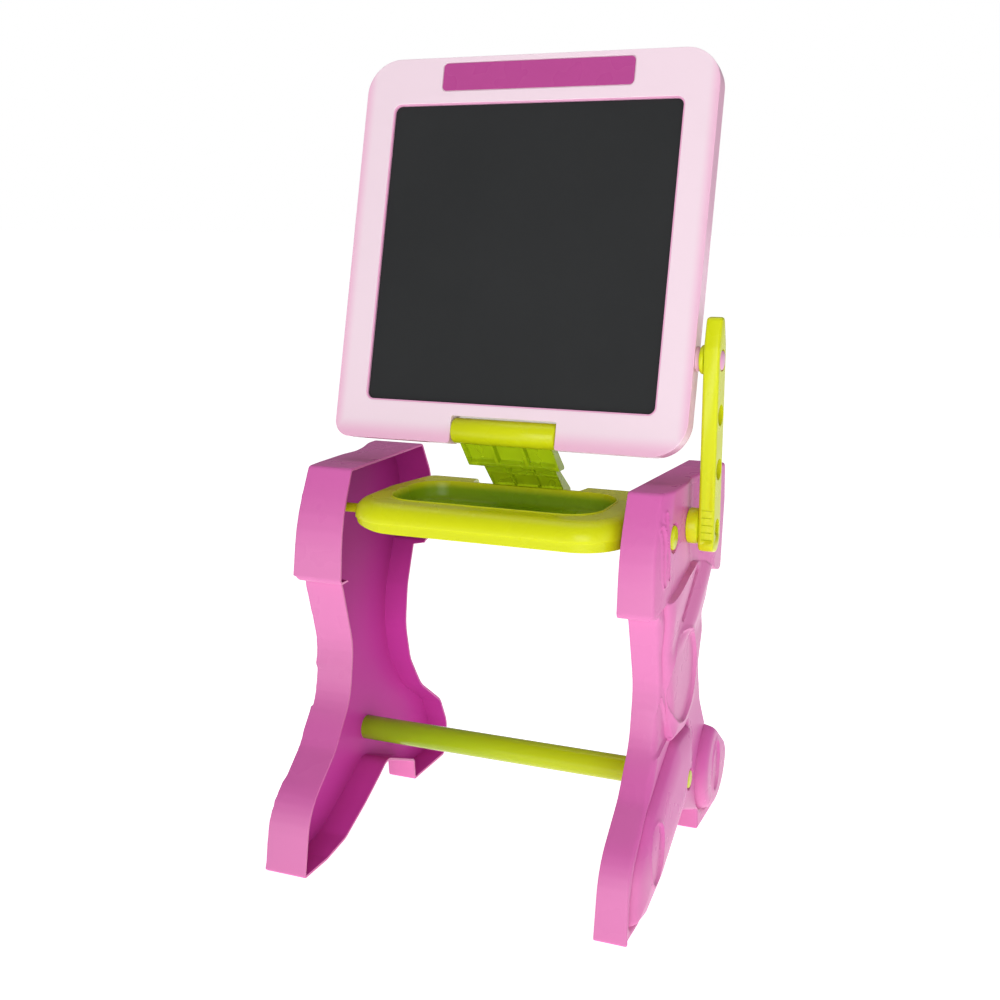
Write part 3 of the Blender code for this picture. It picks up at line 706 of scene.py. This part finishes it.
def details(points):
    """Height of the small crisp features: grooves, dishes, slot and pin seats."""
    y, z = points[:, 0], points[:, 1]
    height = np.zeros(len(points))
    for wave in WAVES:
        gap, _ = distance_to(points, wave, closed=False)
        height += 0.0014 * ridge(gap - 0.0032, 0.0011) - 0.0020 * ridge(gap, 0.0014)
        pit = np.hypot(y - wave[-1][0], z - wave[-1][1])
        height -= PIT_DEPTH * ridge(pit, 0.0022)
    height += dish(points, LONG_DISH, 0.0024, 0.0010)
    height += dish(points, FOOT_DISH, 0.0020, 0.0010)
    height += dish(points, HEEL_DISH, 0.0014, 0.0010)
    slot_gap, _ = distance_to(points, SLOT, closed=False)
    height -= 0.0060 * smooth(0.0030, 0.0016, slot_gap)
    facet_gap, in_facet = distance_to(points, FACET)
    height += 0.0007 * ridge(facet_gap, 0.0009)
    height -= np.where(in_facet, 0.0018 * smooth(0.0, 0.0014, facet_gap), 0.0)
    tray_pin = np.hypot(y - TRAY_PLUG[0], z - TRAY_PLUG[1])
    height -= 0.0050 * smooth(0.0144, 0.0136, tray_pin)
    bar_pin = np.hypot(y - BAR_AXIS[0], z - BAR_AXIS[1])
    height += 0.0010 * ridge(bar_pin - 0.0122, 0.0010) - 0.0030 * smooth(0.0112, 0.0104, bar_pin)
    return height


def edge_height(side, outline, points):
    """Outer x of the front edge at each point's height, and its share there."""
    y, z = points[:, 0], points[:, 1]
    ring = np.asarray(outline)
    levels = np.linspace(0.0, PANEL_TOP, 82)
    front = [ring[np.abs(ring[:, 1] - level) < 0.0040][:, 0].min() for level in levels]
    cap = cap_share(points)
    blend = LEG_BLEND + (CAP_BLEND - LEG_BLEND) * cap
    depth = np.clip((y - np.interp(z, levels, front)) / blend, 0, 1)
    share = 1 - np.sin(depth * math.pi / 2)
    on_cap = np.interp(z, *zip(*CAP_EDGE[side]))
    on_leg = np.interp(z, *zip(*LEG_EDGE[side]))
    return cap * on_cap + (1 - cap) * on_leg, share


def rim_distance(side, points):
    """How far from the centre line the open edge lies."""
    y, z = points[:, 0], points[:, 1]
    on_cap = smooth(0.2880, 0.2892, z)
    on_leg = LEG_RIM[side] + 0.0060 * smooth(0.04, 0.17, y)
    flare = RIM_FLARE[side] * np.clip((y + 0.0135) / 0.1880, 0, 1)
    return on_leg + (CAP_RIM[side] + flare - on_leg) * on_cap


def skin(loops, lines, spacing, height):
    """Triangulated sheet inside the first loop, following the other loops and the
    lines, and raised by a height function."""
    points = []
    edges = []
    for closed, group in ((True, loops), (False, lines)):
        for line in group:
            start = len(points)
            points += line
            last = len(line) if closed else len(line) - 1
            edges += [(start + k, start + (k + 1) % len(line)) for k in range(last)]
    fixed = np.asarray(points)
    low, high = fixed.min(axis=0), fixed.max(axis=0)
    grid_u = np.arange(low[0], high[0], spacing)
    grid_v = np.arange(low[1], high[1], spacing)
    grid = np.array([(u + (0.5 * spacing if row % 2 else 0), v)
                     for row, v in enumerate(grid_v) for u in grid_u])
    gap, inside = distance_to(grid, loops[0])
    keep = inside & (gap > spacing * 0.6)
    for k in range(1, len(loops)):
        near, _ = distance_to(grid, loops[k])
        keep &= near > spacing * 0.5
    for line in lines:
        near, _ = distance_to(grid, line, closed=False)
        keep &= near > spacing * 0.5
    points = [Vector(p) for p in points] + [Vector(p) for p in grid[keep]]
    boundary = list(range(len(loops[0])))
    verts, _, faces, _, _, _ = delaunay_2d_cdt(points, edges, [boundary], 1, 1e-6)
    flat = np.array([tuple(v) for v in verts])
    x = height(flat)
    bm = bmesh.new()
    made = [bm.verts.new((x[k], flat[k][0], flat[k][1])) for k in range(len(flat))]
    for face in faces:
        bm.faces.new([made[k] for k in face])
    return bm


def wall_down(bm, depth_of):
    """Carries the sheet's boundary straight on to the rim."""
    boundary = [e for e in bm.edges if len(e.link_faces) == 1]
    made = bmesh.ops.extrude_edge_only(bm, edges=boundary)["geom"]
    verts = [g for g in made if isinstance(g, bmesh.types.BMVert)]
    at = depth_of(np.array([(v.co.y, v.co.z) for v in verts]))
    for v, x in zip(verts, at):
        v.co.x = x


def add_between(bm, outline, inner_outline, lift):
    """Strip that fills the space between one closed outline and another."""
    points = [Vector(p) for p in outline + inner_outline]
    count = len(outline)
    edges = [(k, (k + 1) % count) for k in range(count)]
    edges += [(count + k, count + (k + 1) % len(inner_outline))
              for k in range(len(inner_outline))]
    verts, _, faces, _, _, _ = delaunay_2d_cdt(points, edges, [list(range(count))], 1, 1e-7)
    flat = np.array([tuple(v) for v in verts])
    centres = np.array([flat[list(face)].mean(axis=0) for face in faces])
    _, open_side = distance_to(centres, inner_outline)
    made = [bm.verts.new(point) for point in lift(flat)]
    return [bm.faces.new([made[k] for k in face])
            for face, hollow in zip(faces, open_side) if not hollow]


def clear_runs(ring, boundary):
    """The stretches of a closed ring that lie clear inside a boundary."""
    closed = ring + ring[:1]
    gap, inside = distance_to(closed, boundary)
    runs = [[]]
    for point, near, within in zip(closed, gap, inside):
        if within and near > 0.0006:
            runs[-1].append(point)
        else:
            runs.append([])
    return [run for run in runs if len(run) > 2]


def crease_lines(boundary):
    """Lines that the skin's triangles follow, so that its creases stay crisp."""
    lines = []
    for offset in (-0.0008, 0.0, 0.0008):
        border = dense([(u, v + offset) for u, v in CAP_BORDER], CREASE_STEP, closed=False)
        _, inside = distance_to(border, boundary)
        lines.append([point for point, within in zip(border, inside) if within])
    for shape in (LEG_LOBE, FOOT_LOBE, HEEL_LOBE, FACET):
        for step in (0.0, 0.0006, 0.0018):
            corners = inset(shape, step) if step else shape
            if len(corners) > 2:
                lines += clear_runs(dense(corners, CREASE_STEP), boundary)
    return lines


def add_inside(bm, inner_outline, floor_x, rim):
    """Flat floor and straight walls of the hollow side, in the second material."""
    floor = skin([inner_outline], [], FLOOR_STEP, lambda flat: np.full(len(flat), floor_x))
    wall_down(floor, rim)
    for face in floor.faces:
        face.material_index = 1
    inner_mesh = bpy.data.meshes.new("inner")
    floor.to_mesh(inner_mesh)
    floor.free()
    bm.from_mesh(inner_mesh)
    bpy.data.meshes.remove(inner_mesh)


def add_rim(bm, outline, inner_outline, rim):
    """Closes the open edge between the two shells and marks its edges for rounding."""
    strip = add_between(bm, outline, inner_outline,
                        lambda flat: zip(rim(flat), flat[:, 0], flat[:, 1]))
    for face in strip:
        face.material_index = 2
    bmesh.ops.remove_doubles(bm, verts=bm.verts, dist=2e-6)
    weight = bm.edges.layers.float.new("bevel_weight_edge")
    for edge in bm.edges:
        edge[weight] = float(sum(face.material_index == 2 for face in edge.link_faces) == 1)
    for face in bm.faces:
        face.material_index %= 2


def make_side_panel(side):
    """Moulded shell: detailed skin, perimeter wall, rim and plainer inside."""
    outer = PANEL_OUTER[side]
    outline = dense(rounded(PANEL + [(TOP_BACK[side], PANEL_TOP, 0.006)]), 0.0030)

    def skin_height(points):
        edge, share = edge_height(side, outline, points)
        gap, _ = distance_to(points, outline)
        drop = EDGE_ROUND - np.clip(gap, 0, EDGE_ROUND)
        fillet = EDGE_ROUND - np.sqrt(np.maximum(EDGE_ROUND ** 2 - drop ** 2, 0))
        return share * edge + (1 - share) * (outer + relief(points)) + details(points) - fillet

    def rim(points):
        return rim_distance(side, points)

    loops = [outline] + [inset(outline, EDGE_ROUND * part) for part in (0.12, 0.4, 1.0)]
    bm = skin(loops, crease_lines(loops[-1]), SKIN_STEP, skin_height)
    wall_down(bm, rim)
    inner_outline = dense(inset(outline, WALL), FLOOR_STEP)
    add_inside(bm, inner_outline, outer - FLOOR_SINK, rim)
    add_rim(bm, outline, inner_outline, rim)
    bmesh.ops.recalc_face_normals(bm, faces=bm.faces)
    if side == "left":
        bmesh.ops.scale(bm, vec=(-1, 1, 1), verts=bm.verts)
        bmesh.ops.reverse_faces(bm, faces=bm.faces)
    inside = [face.material_index for face in bm.faces]
    mesh = bpy.data.meshes.new(f"panel_{side}_shell")
    bm.to_mesh(mesh)
    bm.free()
    panel = add_object(mesh.name, mesh, MAGENTA, angle=50)
    mesh.materials.append(SHADED_INSIDE)
    mesh.polygons.foreach_set("material_index", inside)
    soften(panel, 0.0007, segments=2, limit="WEIGHT")
    place(panel, "stand", f"side_panel_{side}", slot="magenta_plastic")


# ---------------------------------------------------------------- board

def board_place(obj):
    """From the board's own frame (x, n, t) to the layout frame."""
    tilt = Matrix.Translation(WINDOW_FOOT) @ Matrix.Rotation(-BOARD_TILT, 4, "X")
    obj.data.transform(tilt)
    return obj


def board_outline(shrink=0.0):
    """Rounded rectangle, tighter at its lower left, with the hinge notch below."""
    half = BOARD_HALF - shrink
    low, high = BOARD_LOW + shrink, BOARD_HIGH - shrink
    radius = BOARD_CORNER - shrink
    return rounded([
        (-half, low, BOARD_TIGHT_CORNER - shrink), (-NOTCH_HALF, low, 0.003),
        (-NOTCH_HALF, NOTCH_TOP, 0.002), (NOTCH_HALF, NOTCH_TOP, 0.002),
        (NOTCH_HALF, low, 0.003), (half, low, radius), (half, high, radius),
        (-half, high, radius),
    ], step=math.radians(6))


def window_outline(grow, radius):
    return rounded_box((-WINDOW_HALF - grow, WINDOW_HALF + grow),
                       (-grow, WINDOW_HIGH + grow), radius)


def make_board():
    """Front ring, window lip, back casing, black sheet and the plain plate above it."""
    face = prism("board_face_ring", [board_outline(), window_outline(0.0015, 0.0085)],
                 "XZ", 0.0, FRAME_DEEP, BOARD_PINK)
    seat = rounded_box((-LABEL_HALF - 0.0008, LABEL_HALF + 0.0008),
                       (LABEL_T[0] - 0.0008, LABEL_T[1] + 0.0008), 0.0052)
    cut(face, prism("seat", [seat], "XZ", -0.01, 0.0012))
    soften(face, 0.0042, segments=5)
    place(board_place(face), "board", "board_front_frame", slot="pale_pink_plastic")

    lip = prism("window_lip", [window_outline(0.0024, 0.0094), window_outline(0.0, 0.0070)],
                "XZ", 0.0006, 0.0062, LIP_PINK)
    soften(lip, 0.0008, segments=3)
    place(board_place(lip), "board", slot="pale_pink_plastic")

    back = prism("board_back_casing", [board_outline(0.0006)], "XZ",
                 FRAME_DEEP + 0.0005, BOARD_DEEP, BOARD_PINK)
    soften(back, 0.0036, segments=5)
    place(board_place(back), "board", "board_back_shell", slot="pale_pink_plastic")

    panel = prism("writing_surface", [window_outline(0.004, 0.0085)], "XZ",
                  0.0034, 0.0066, BLACK)
    place(board_place(panel), "board", "black_panel", slot="black_board")

    plate = prism("label_plate_plain", [rounded_box((-LABEL_HALF, LABEL_HALF), LABEL_T, 0.0045)],
                  "XZ", -0.0002, 0.0011, PLUM)
    soften(plate, 0.0005, segments=3)
    place(board_place(plate), "board", "label_plate", slot="plum_plastic")


# ---------------------------------------------------------------- lime parts

def hinge_point():
    """Where the board's hinge axis crosses the YZ plane."""
    sine, cosine = math.sin(BOARD_TILT), math.cos(BOARD_TILT)
    return (WINDOW_FOOT.y + HINGE_T * sine + HINGE_N * cosine,
            WINDOW_FOOT.z + HINGE_T * cosine - HINGE_N * sine)


def sunk(face, low, high, depth):
    """Outline of a pocket let into part of a straight face, seen from its end."""
    run = face[1] - face[0]
    into = Vector((-run.y, run.x)).normalized()
    start, end = face[0] + run * low, face[0] + run * high
    corners = [start - into * 0.004, end - into * 0.004, end + into * depth,
               start + into * depth]
    return [tuple(corner) for corner in corners]


def make_neck():
    """Hinge barrel, block and web, the last two with rows of pockets in front."""
    y, z = hinge_point()
    half, radius, chamfer = BARREL_HALF, BARREL_RADIUS, 0.0012
    barrel = turned("neck_barrel", [
        (-half, 0.0026), (-half, radius - chamfer), (chamfer - half, radius),
        (half - chamfer, radius), (half, radius - chamfer), (half, 0.0026),
    ], (y, z), LIME)
    place(barrel, "stand", "neck_bracket", slot="lime_plastic")
    block = rounded([(y - 0.003, z - 0.010, 0.002), (y + 0.008, z - 0.008, 0.002),
                     (0.0800, 0.4030, 0.002), (0.0620, 0.4030, 0.002)])
    web = rounded([(0.0680, 0.4100, 0.001), (0.0790, 0.4075, 0.001), (0.1245, 0.3740, 0.003),
                   (0.1245, 0.3575, 0.001), (0.1040, 0.3575, 0.001), (0.1040, 0.3745, 0.004)])
    upper = prism("neck_block", [block], "YZ", -NECK_BLOCK_HALF, NECK_BLOCK_HALF, CLEAR_LIME)
    lower = prism("neck_web", [web], "YZ", -NECK_WEB_HALF, NECK_WEB_HALF, CLEAR_LIME)
    block_face = (Vector((y - 0.003, z - 0.010)), Vector((0.0620, 0.4030)))
    web_face = (Vector((0.0680, 0.4100)), Vector((0.1040, 0.3745)))
    for x in (-0.0330, 0.0, 0.0330):
        cut(upper, prism("pocket", [sunk(block_face, 0.14, 0.86, 0.0060)], "YZ",
                         x - 0.0145, x + 0.0145))
    for x in (-0.0265, 0.0, 0.0265):
        for low, high in ((0.04, 0.47), (0.53, 0.96)):
            cut(lower, prism("pocket", [sunk(web_face, low, high, 0.0034)], "YZ",
                             x - 0.0118, x + 0.0118))
    for piece in (upper, lower):
        soften(piece, 0.0006, segments=2)
        place(piece, "stand", slot="lime_plastic")


def tray_outline():
    """Plan of the tray: a long slab with full round front corners."""
    half, narrow = TRAY_HALF, TRAY_HALF - 0.016
    return dense(rounded([
        (-half, TRAY_FRONT, 0.052), (half, TRAY_FRONT, 0.052), (half, 0.0500, 0.050),
        (narrow, TRAY_BACK, 0.022), (-narrow, TRAY_BACK, 0.022), (-half, 0.0500, 0.050),
    ], step=math.radians(4)), 0.012)


def trough_outline():
    front = TROUGH_MIDDLE - TROUGH_WIDE / 2
    return rounded_box((-TROUGH_HALF, TROUGH_HALF), (front, front + TROUGH_WIDE), 0.034,
                       step=math.radians(5))


def add_rings(bm, rings):
    """Joins closed loops of equal count into one band."""
    made = [[bm.verts.new((u, v, z)) for u, v in ring] for ring, z in rings]
    for first, second in zip(made, made[1:]):
        for k in range(len(first)):
            bm.faces.new((first[k - 1], first[k], second[k], second[k - 1]))
    return made[-1]


def make_tray():
    """Skirt, bull-nosed deck, beaded trough and the moulding's open underside."""
    plan = tray_outline()
    trough = trough_outline()
    skirt = [(0.0050, TRAY_BOTTOM), (0.0024, TRAY_BOTTOM), (0.0018, TRAY_BOTTOM + 0.0006),
             (0.0018, 0.3584), (0.0014, 0.3588), (0.0003, TRAY_LEDGE), (0.0, 0.3594),
             (0.0, 0.3610)]
    nose = [(0.0160 * (1 - math.cos(angle)), 0.3610 + 0.0170 * math.sin(angle))
            for angle in map(math.radians, range(7, 85, 7))]
    outside = skirt + nose + [(0.0160, TRAY_TOP)]
    underside = [(0.0050, TRAY_BOTTOM), (0.0050, 0.3620), (0.0080, 0.3700), (0.0160, TRAY_UNDER)]
    bead = [(-0.0024, TRAY_TOP), (-0.0020, TRAY_TOP + 0.0007), (-0.0012, TRAY_TOP + 0.0011),
            (-0.0004, TRAY_TOP + 0.0008), (0.0, TRAY_TOP)]
    wall = [(0.0010, 0.3700), (0.0020, 0.3640), (0.0032, 0.3612), (0.0055, 0.3596),
            (0.0090, TRAY_LEDGE)]
    bm = bmesh.new()
    add_rings(bm, [(moved_in(plan, step), z) for step, z in outside])
    add_rings(bm, [(moved_in(plan, step), z) for step, z in underside])
    floor = add_rings(bm, [(moved_in(trough, step), z) for step, z in bead + wall])
    bm.faces.new(floor)
    base = add_rings(bm, [(moved_in(trough, -0.0030), TRAY_UNDER),
                          (moved_in(trough, -0.0030), 0.3575),
                          (moved_in(trough, -0.0015), 0.3560)])
    bm.faces.new(base)
    for inner, z in ((-0.0024, TRAY_TOP), (-0.0030, TRAY_UNDER)):
        add_between(bm, moved_in(plan, 0.0160), moved_in(trough, inner),
                    lambda flat, z=z: [(u, v, z) for u, v in flat])
    bmesh.ops.remove_doubles(bm, verts=bm.verts, dist=1e-6)
    bmesh.ops.recalc_face_normals(bm, faces=bm.faces)
    for vert in bm.verts:
        if vert.co.z < TRAY_LEDGE:
            depth = 0.35 + 0.65 * float(smooth(-0.150, -0.090, vert.co.x))
            vert.co.z = TRAY_LEDGE - (TRAY_LEDGE - vert.co.z) * depth
    mesh = bpy.data.meshes.new("pen_tray")
    bm.to_mesh(mesh)
    bm.free()
    tray = add_object("pen_tray", mesh, TRAY_LIME)
    half = NECK_SEAT_HALF
    cutout = rounded([(0.008 - half, 0.0950, 0.002), (-half, 0.140, 0.002),
                      (half, 0.140, 0.002), (half - 0.008, 0.0950, 0.002)])
    cut(tray, prism("cutout", [cutout], "XY", TRAY_LEDGE - 0.0005, TRAY_TOP + 0.010))
    shade(tray.data, 40)
    place(tray, "stand", "tray", slot="lime_plastic")
    seat = prism("neck_seat", [rounded_box((-half, half), (0.0870, 0.1262), 0.002)],
                 "XY", 0.3540, 0.3570, LIME)
    soften(seat, 0.0006, segments=2)
    place(seat, "stand", slot="lime_plastic")


def make_round(name, body, node, profile, centre, material=LIME, slot="lime_plastic"):
    place(turned(name, profile, centre, material), body, node, slot=slot)


def make_crossbar():
    profile = [
        (BAR_LEFT, 0.0), (BAR_LEFT, BAR_RADIUS - 0.0040),
        (BAR_LEFT + 0.0012, BAR_RADIUS - 0.0012), (BAR_LEFT + 0.0040, BAR_RADIUS),
        (BAR_RIGHT, BAR_RADIUS), (BAR_RIGHT, 0.0),
    ]
    make_round("crossbar_tube", "stand", "crossbar", profile, BAR_AXIS, BAR_LIME)


def mirrored(profile, sign):
    return [(sign * x, radius) for x, radius in profile]


def make_plugs():
    """Pins that hold the tray and the crossbar in the two panels."""
    for side, sign in (("left", -1), ("right", 1)):
        outer = PANEL_OUTER[side]
        face = outer + 0.0004
        profile = [(face, 0.0), (face, 0.0108), (face - 0.0008, 0.0116),
                   (outer - 0.0060, 0.0116), (outer - 0.0060, 0.0048),
                   (0.1215, 0.0048), (0.1215, 0.0)]
        make_round(f"tray_pin_{side}", "stand", f"tray_plug_{side}",
                   mirrored(profile, sign), TRAY_PLUG)
        face = outer + 0.0045
        profile = [(face, 0.0), (face, 0.0084), (face - 0.0010, 0.0094),
                   (outer - 0.0270, 0.0094), (outer - 0.0270, 0.0)]
        make_round(f"bar_pin_{side}", "stand", f"crossbar_plug_{side}",
                   mirrored(profile, sign), BAR_AXIS)


def make_arm():
    """Flat arm with three peg holes, a seat for the pivot's head and grip grooves."""
    high = ARM_INNER + ARM_THICK
    front, back = ARM_Y - ARM_HALF, ARM_Y + ARM_HALF
    outline = rounded([
        (front, ARM_BOTTOM + 0.002, 0.006), (ARM_Y + 0.006, ARM_BOTTOM - 0.004, 0.010),
        (back, ARM_BOTTOM + 0.010, 0.008), (back, PEG_Z + 0.014, 0.020),
        (ARM_Y + 0.006, ARM_TOP, 0.005), (ARM_Y - 0.006, ARM_TOP, 0.004),
        (front, PEG_Z + 0.012, 0.020),
    ])
    arm = prism("side_arm", [outline], "YZ", ARM_INNER, high, LIME)
    soften(arm, 0.0030, segments=5)
    apply_modifiers(arm)
    for index in range(3):
        centre = (ARM_Y, PEG_Z - index * HOLE_PITCH)
        cut(arm, prism("hole", [circle(centre, HOLE_RADIUS)], "YZ", ARM_INNER - 0.01, high + 0.01))
    cut(arm, prism("seat", [circle(PIVOT, 0.0085)], "YZ", high - 0.005, high + 0.01))
    for index in range(GROOVE_COUNT):
        z = PIVOT[1] - 0.010 + index * GROOVE_PITCH
        groove = rectangle((front - 0.004, front + 0.001), (z - GROOVE_HALF, z + GROOVE_HALF))
        cut(arm, prism("groove", [groove], "YZ", ARM_INNER + 0.0035, high + 0.004))
    shade(arm.data, 35)
    place(arm, "arm", "support_arm", slot="lime_plastic")


def make_arm_fittings():
    """The arm's boss and pivot pin, the peg with its collar and the board's cone."""
    outer = PANEL_OUTER["right"]
    high = ARM_INNER + ARM_THICK
    low, top = outer + 0.0003, ARM_INNER - 0.0003
    make_round("pivot_boss", "stand", "arm_pivot_boss",
               [(low, 0.0039), (low, 0.0175), (top - 0.0015, 0.0175), (top, 0.0160),
                (top, 0.0039)], PIVOT)
    make_round("pivot_pin", "stand", "arm_pivot_pin",
               [(outer - 0.0070, 0.0), (outer - 0.0070, 0.0036), (high - 0.0047, 0.0036),
                (high - 0.0047, 0.0080), (high - 0.0026, 0.0080), (high - 0.0020, 0.0072),
                (high - 0.0020, 0.0)], PIVOT)
    peg = (ARM_Y, PEG_Z)
    make_round("collar_ring", "arm", "peg_collar",
               [(0.1925, 0.0105), (0.1925, 0.0132), (0.1933, 0.0140), (0.1959, 0.0140),
                (0.1967, 0.0132), (0.1967, 0.0105)], peg)
    make_round("peg_disc", "peg", "locking_peg",
               [(0.1925, 0.0), (0.1925, 0.0094), (high - 0.0006, 0.0094),
                (high + 0.0004, 0.0084), (high + 0.0004, 0.0)],
               peg, PEG_PINK, "magenta_plastic")
    make_round("board_cone", "board", "board_side_boss",
               [(BOARD_HALF + 0.0002, 0.0125), (0.1915, 0.0104), (0.1922, 0.0096),
                (0.1922, 0.0)],
               peg, BOARD_PINK, "pale_pink_plastic")


# ---------------------------------------------------------------- studio

SKY = 0.22
FLOOR_GLOW = 0.98


def make_floor():
    """White light table: pale floor that glows a little from below."""
    bpy.ops.mesh.primitive_plane_add(size=60)
    floor = bpy.context.object
    floor.name = "floor"
    recipe = Recipe("studio_floor")
    tone = recipe.ramp(recipe.noise(0.6, 1.0), (0.86, 0.86, 0.86), (0.88, 0.88, 0.88))
    recipe.colour(tone)
    recipe.link(tone, recipe.shader.inputs["Emission Color"])
    recipe.roughness(recipe.noise(2.0), 0.85, 0.95)
    recipe.set(Specular_IOR_Level=0.0, Emission_Strength=FLOOR_GLOW)
    floor.data.materials.append(recipe.material)


def make_area(name, where, target, size, power):
    """Square softbox aimed at a point."""
    light = bpy.data.lights.new(name, "AREA")
    light.size = size
    light.energy = power
    obj = bpy.data.objects.new(name, light)
    bpy.context.scene.collection.objects.link(obj)
    obj.location = where
    aim = Vector(target) - Vector(where)
    obj.rotation_euler = aim.to_track_quat("-Z", "Y").to_euler()


def make_world():
    """White backdrop to the camera, softer light on the object."""
    world = bpy.data.worlds.new("studio")
    bpy.context.scene.world = world
    world.use_nodes = True
    tree = world.node_tree
    light = tree.nodes["Background"]
    light.inputs["Color"].default_value = (1, 1, 1, 1)
    light.inputs["Strength"].default_value = SKY
    backdrop = tree.nodes.new("ShaderNodeBackground")
    backdrop.inputs["Color"].default_value = (1, 1, 1, 1)
    backdrop.inputs["Strength"].default_value = 1.0
    path = tree.nodes.new("ShaderNodeLightPath")
    mix = tree.nodes.new("ShaderNodeMixShader")
    tree.links.new(path.outputs["Is Camera Ray"], mix.inputs["Fac"])
    tree.links.new(light.outputs["Background"], mix.inputs[1])
    tree.links.new(backdrop.outputs["Background"], mix.inputs[2])
    tree.links.new(mix.outputs["Shader"], tree.nodes["World Output"].inputs["Surface"])


def make_studio():
    """Key light from the camera's side, a faint side fill and a soft top light."""
    bpy.context.scene.view_settings.view_transform = "Standard"
    make_floor()
    make_world()
    make_area("front", (0.80, -2.5, 0.60), (0, 0, 0.32), 1.5, 35)
    make_area("side", (2.6, -0.9, 0.9), (0, 0, 0.30), 1.6, 5)
    make_area("top", (-0.2, 0.3, 2.7), (0, 0, 0.40), 2.2, 20)


def make_camera():
    yaw, pitch = math.radians(22.66), math.radians(12.20)
    data = bpy.data.cameras.new("camera")
    data.sensor_width = 36.0
    data.lens = 48.75
    camera = bpy.data.objects.new("camera", data)
    bpy.context.scene.collection.objects.link(camera)
    camera.location = Vector((0.5114, -1.1990, 0.6641)) + SHIFT
    camera.rotation_euler = (math.radians(90) - pitch, 0.0, yaw)
    bpy.context.scene.camera = camera


def finish_plain_nodes():
    """Small pieces kept from the CAD model get their own metal."""
    names = ["hinge_pin", "neck_screw_left", "neck_screw_right"]
    names += [f"board_screw_{k}" for k in range(1, 5)]
    for name in names:
        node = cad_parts[name]
        node.data.materials.clear()
        node.data.materials.append(STEEL)


for panel_side in ("left", "right"):
    make_side_panel(panel_side)
make_board()
make_neck()
make_tray()
make_crossbar()
make_plugs()
make_arm()
make_arm_fittings()
finish_plain_nodes()
make_studio()
make_camera()
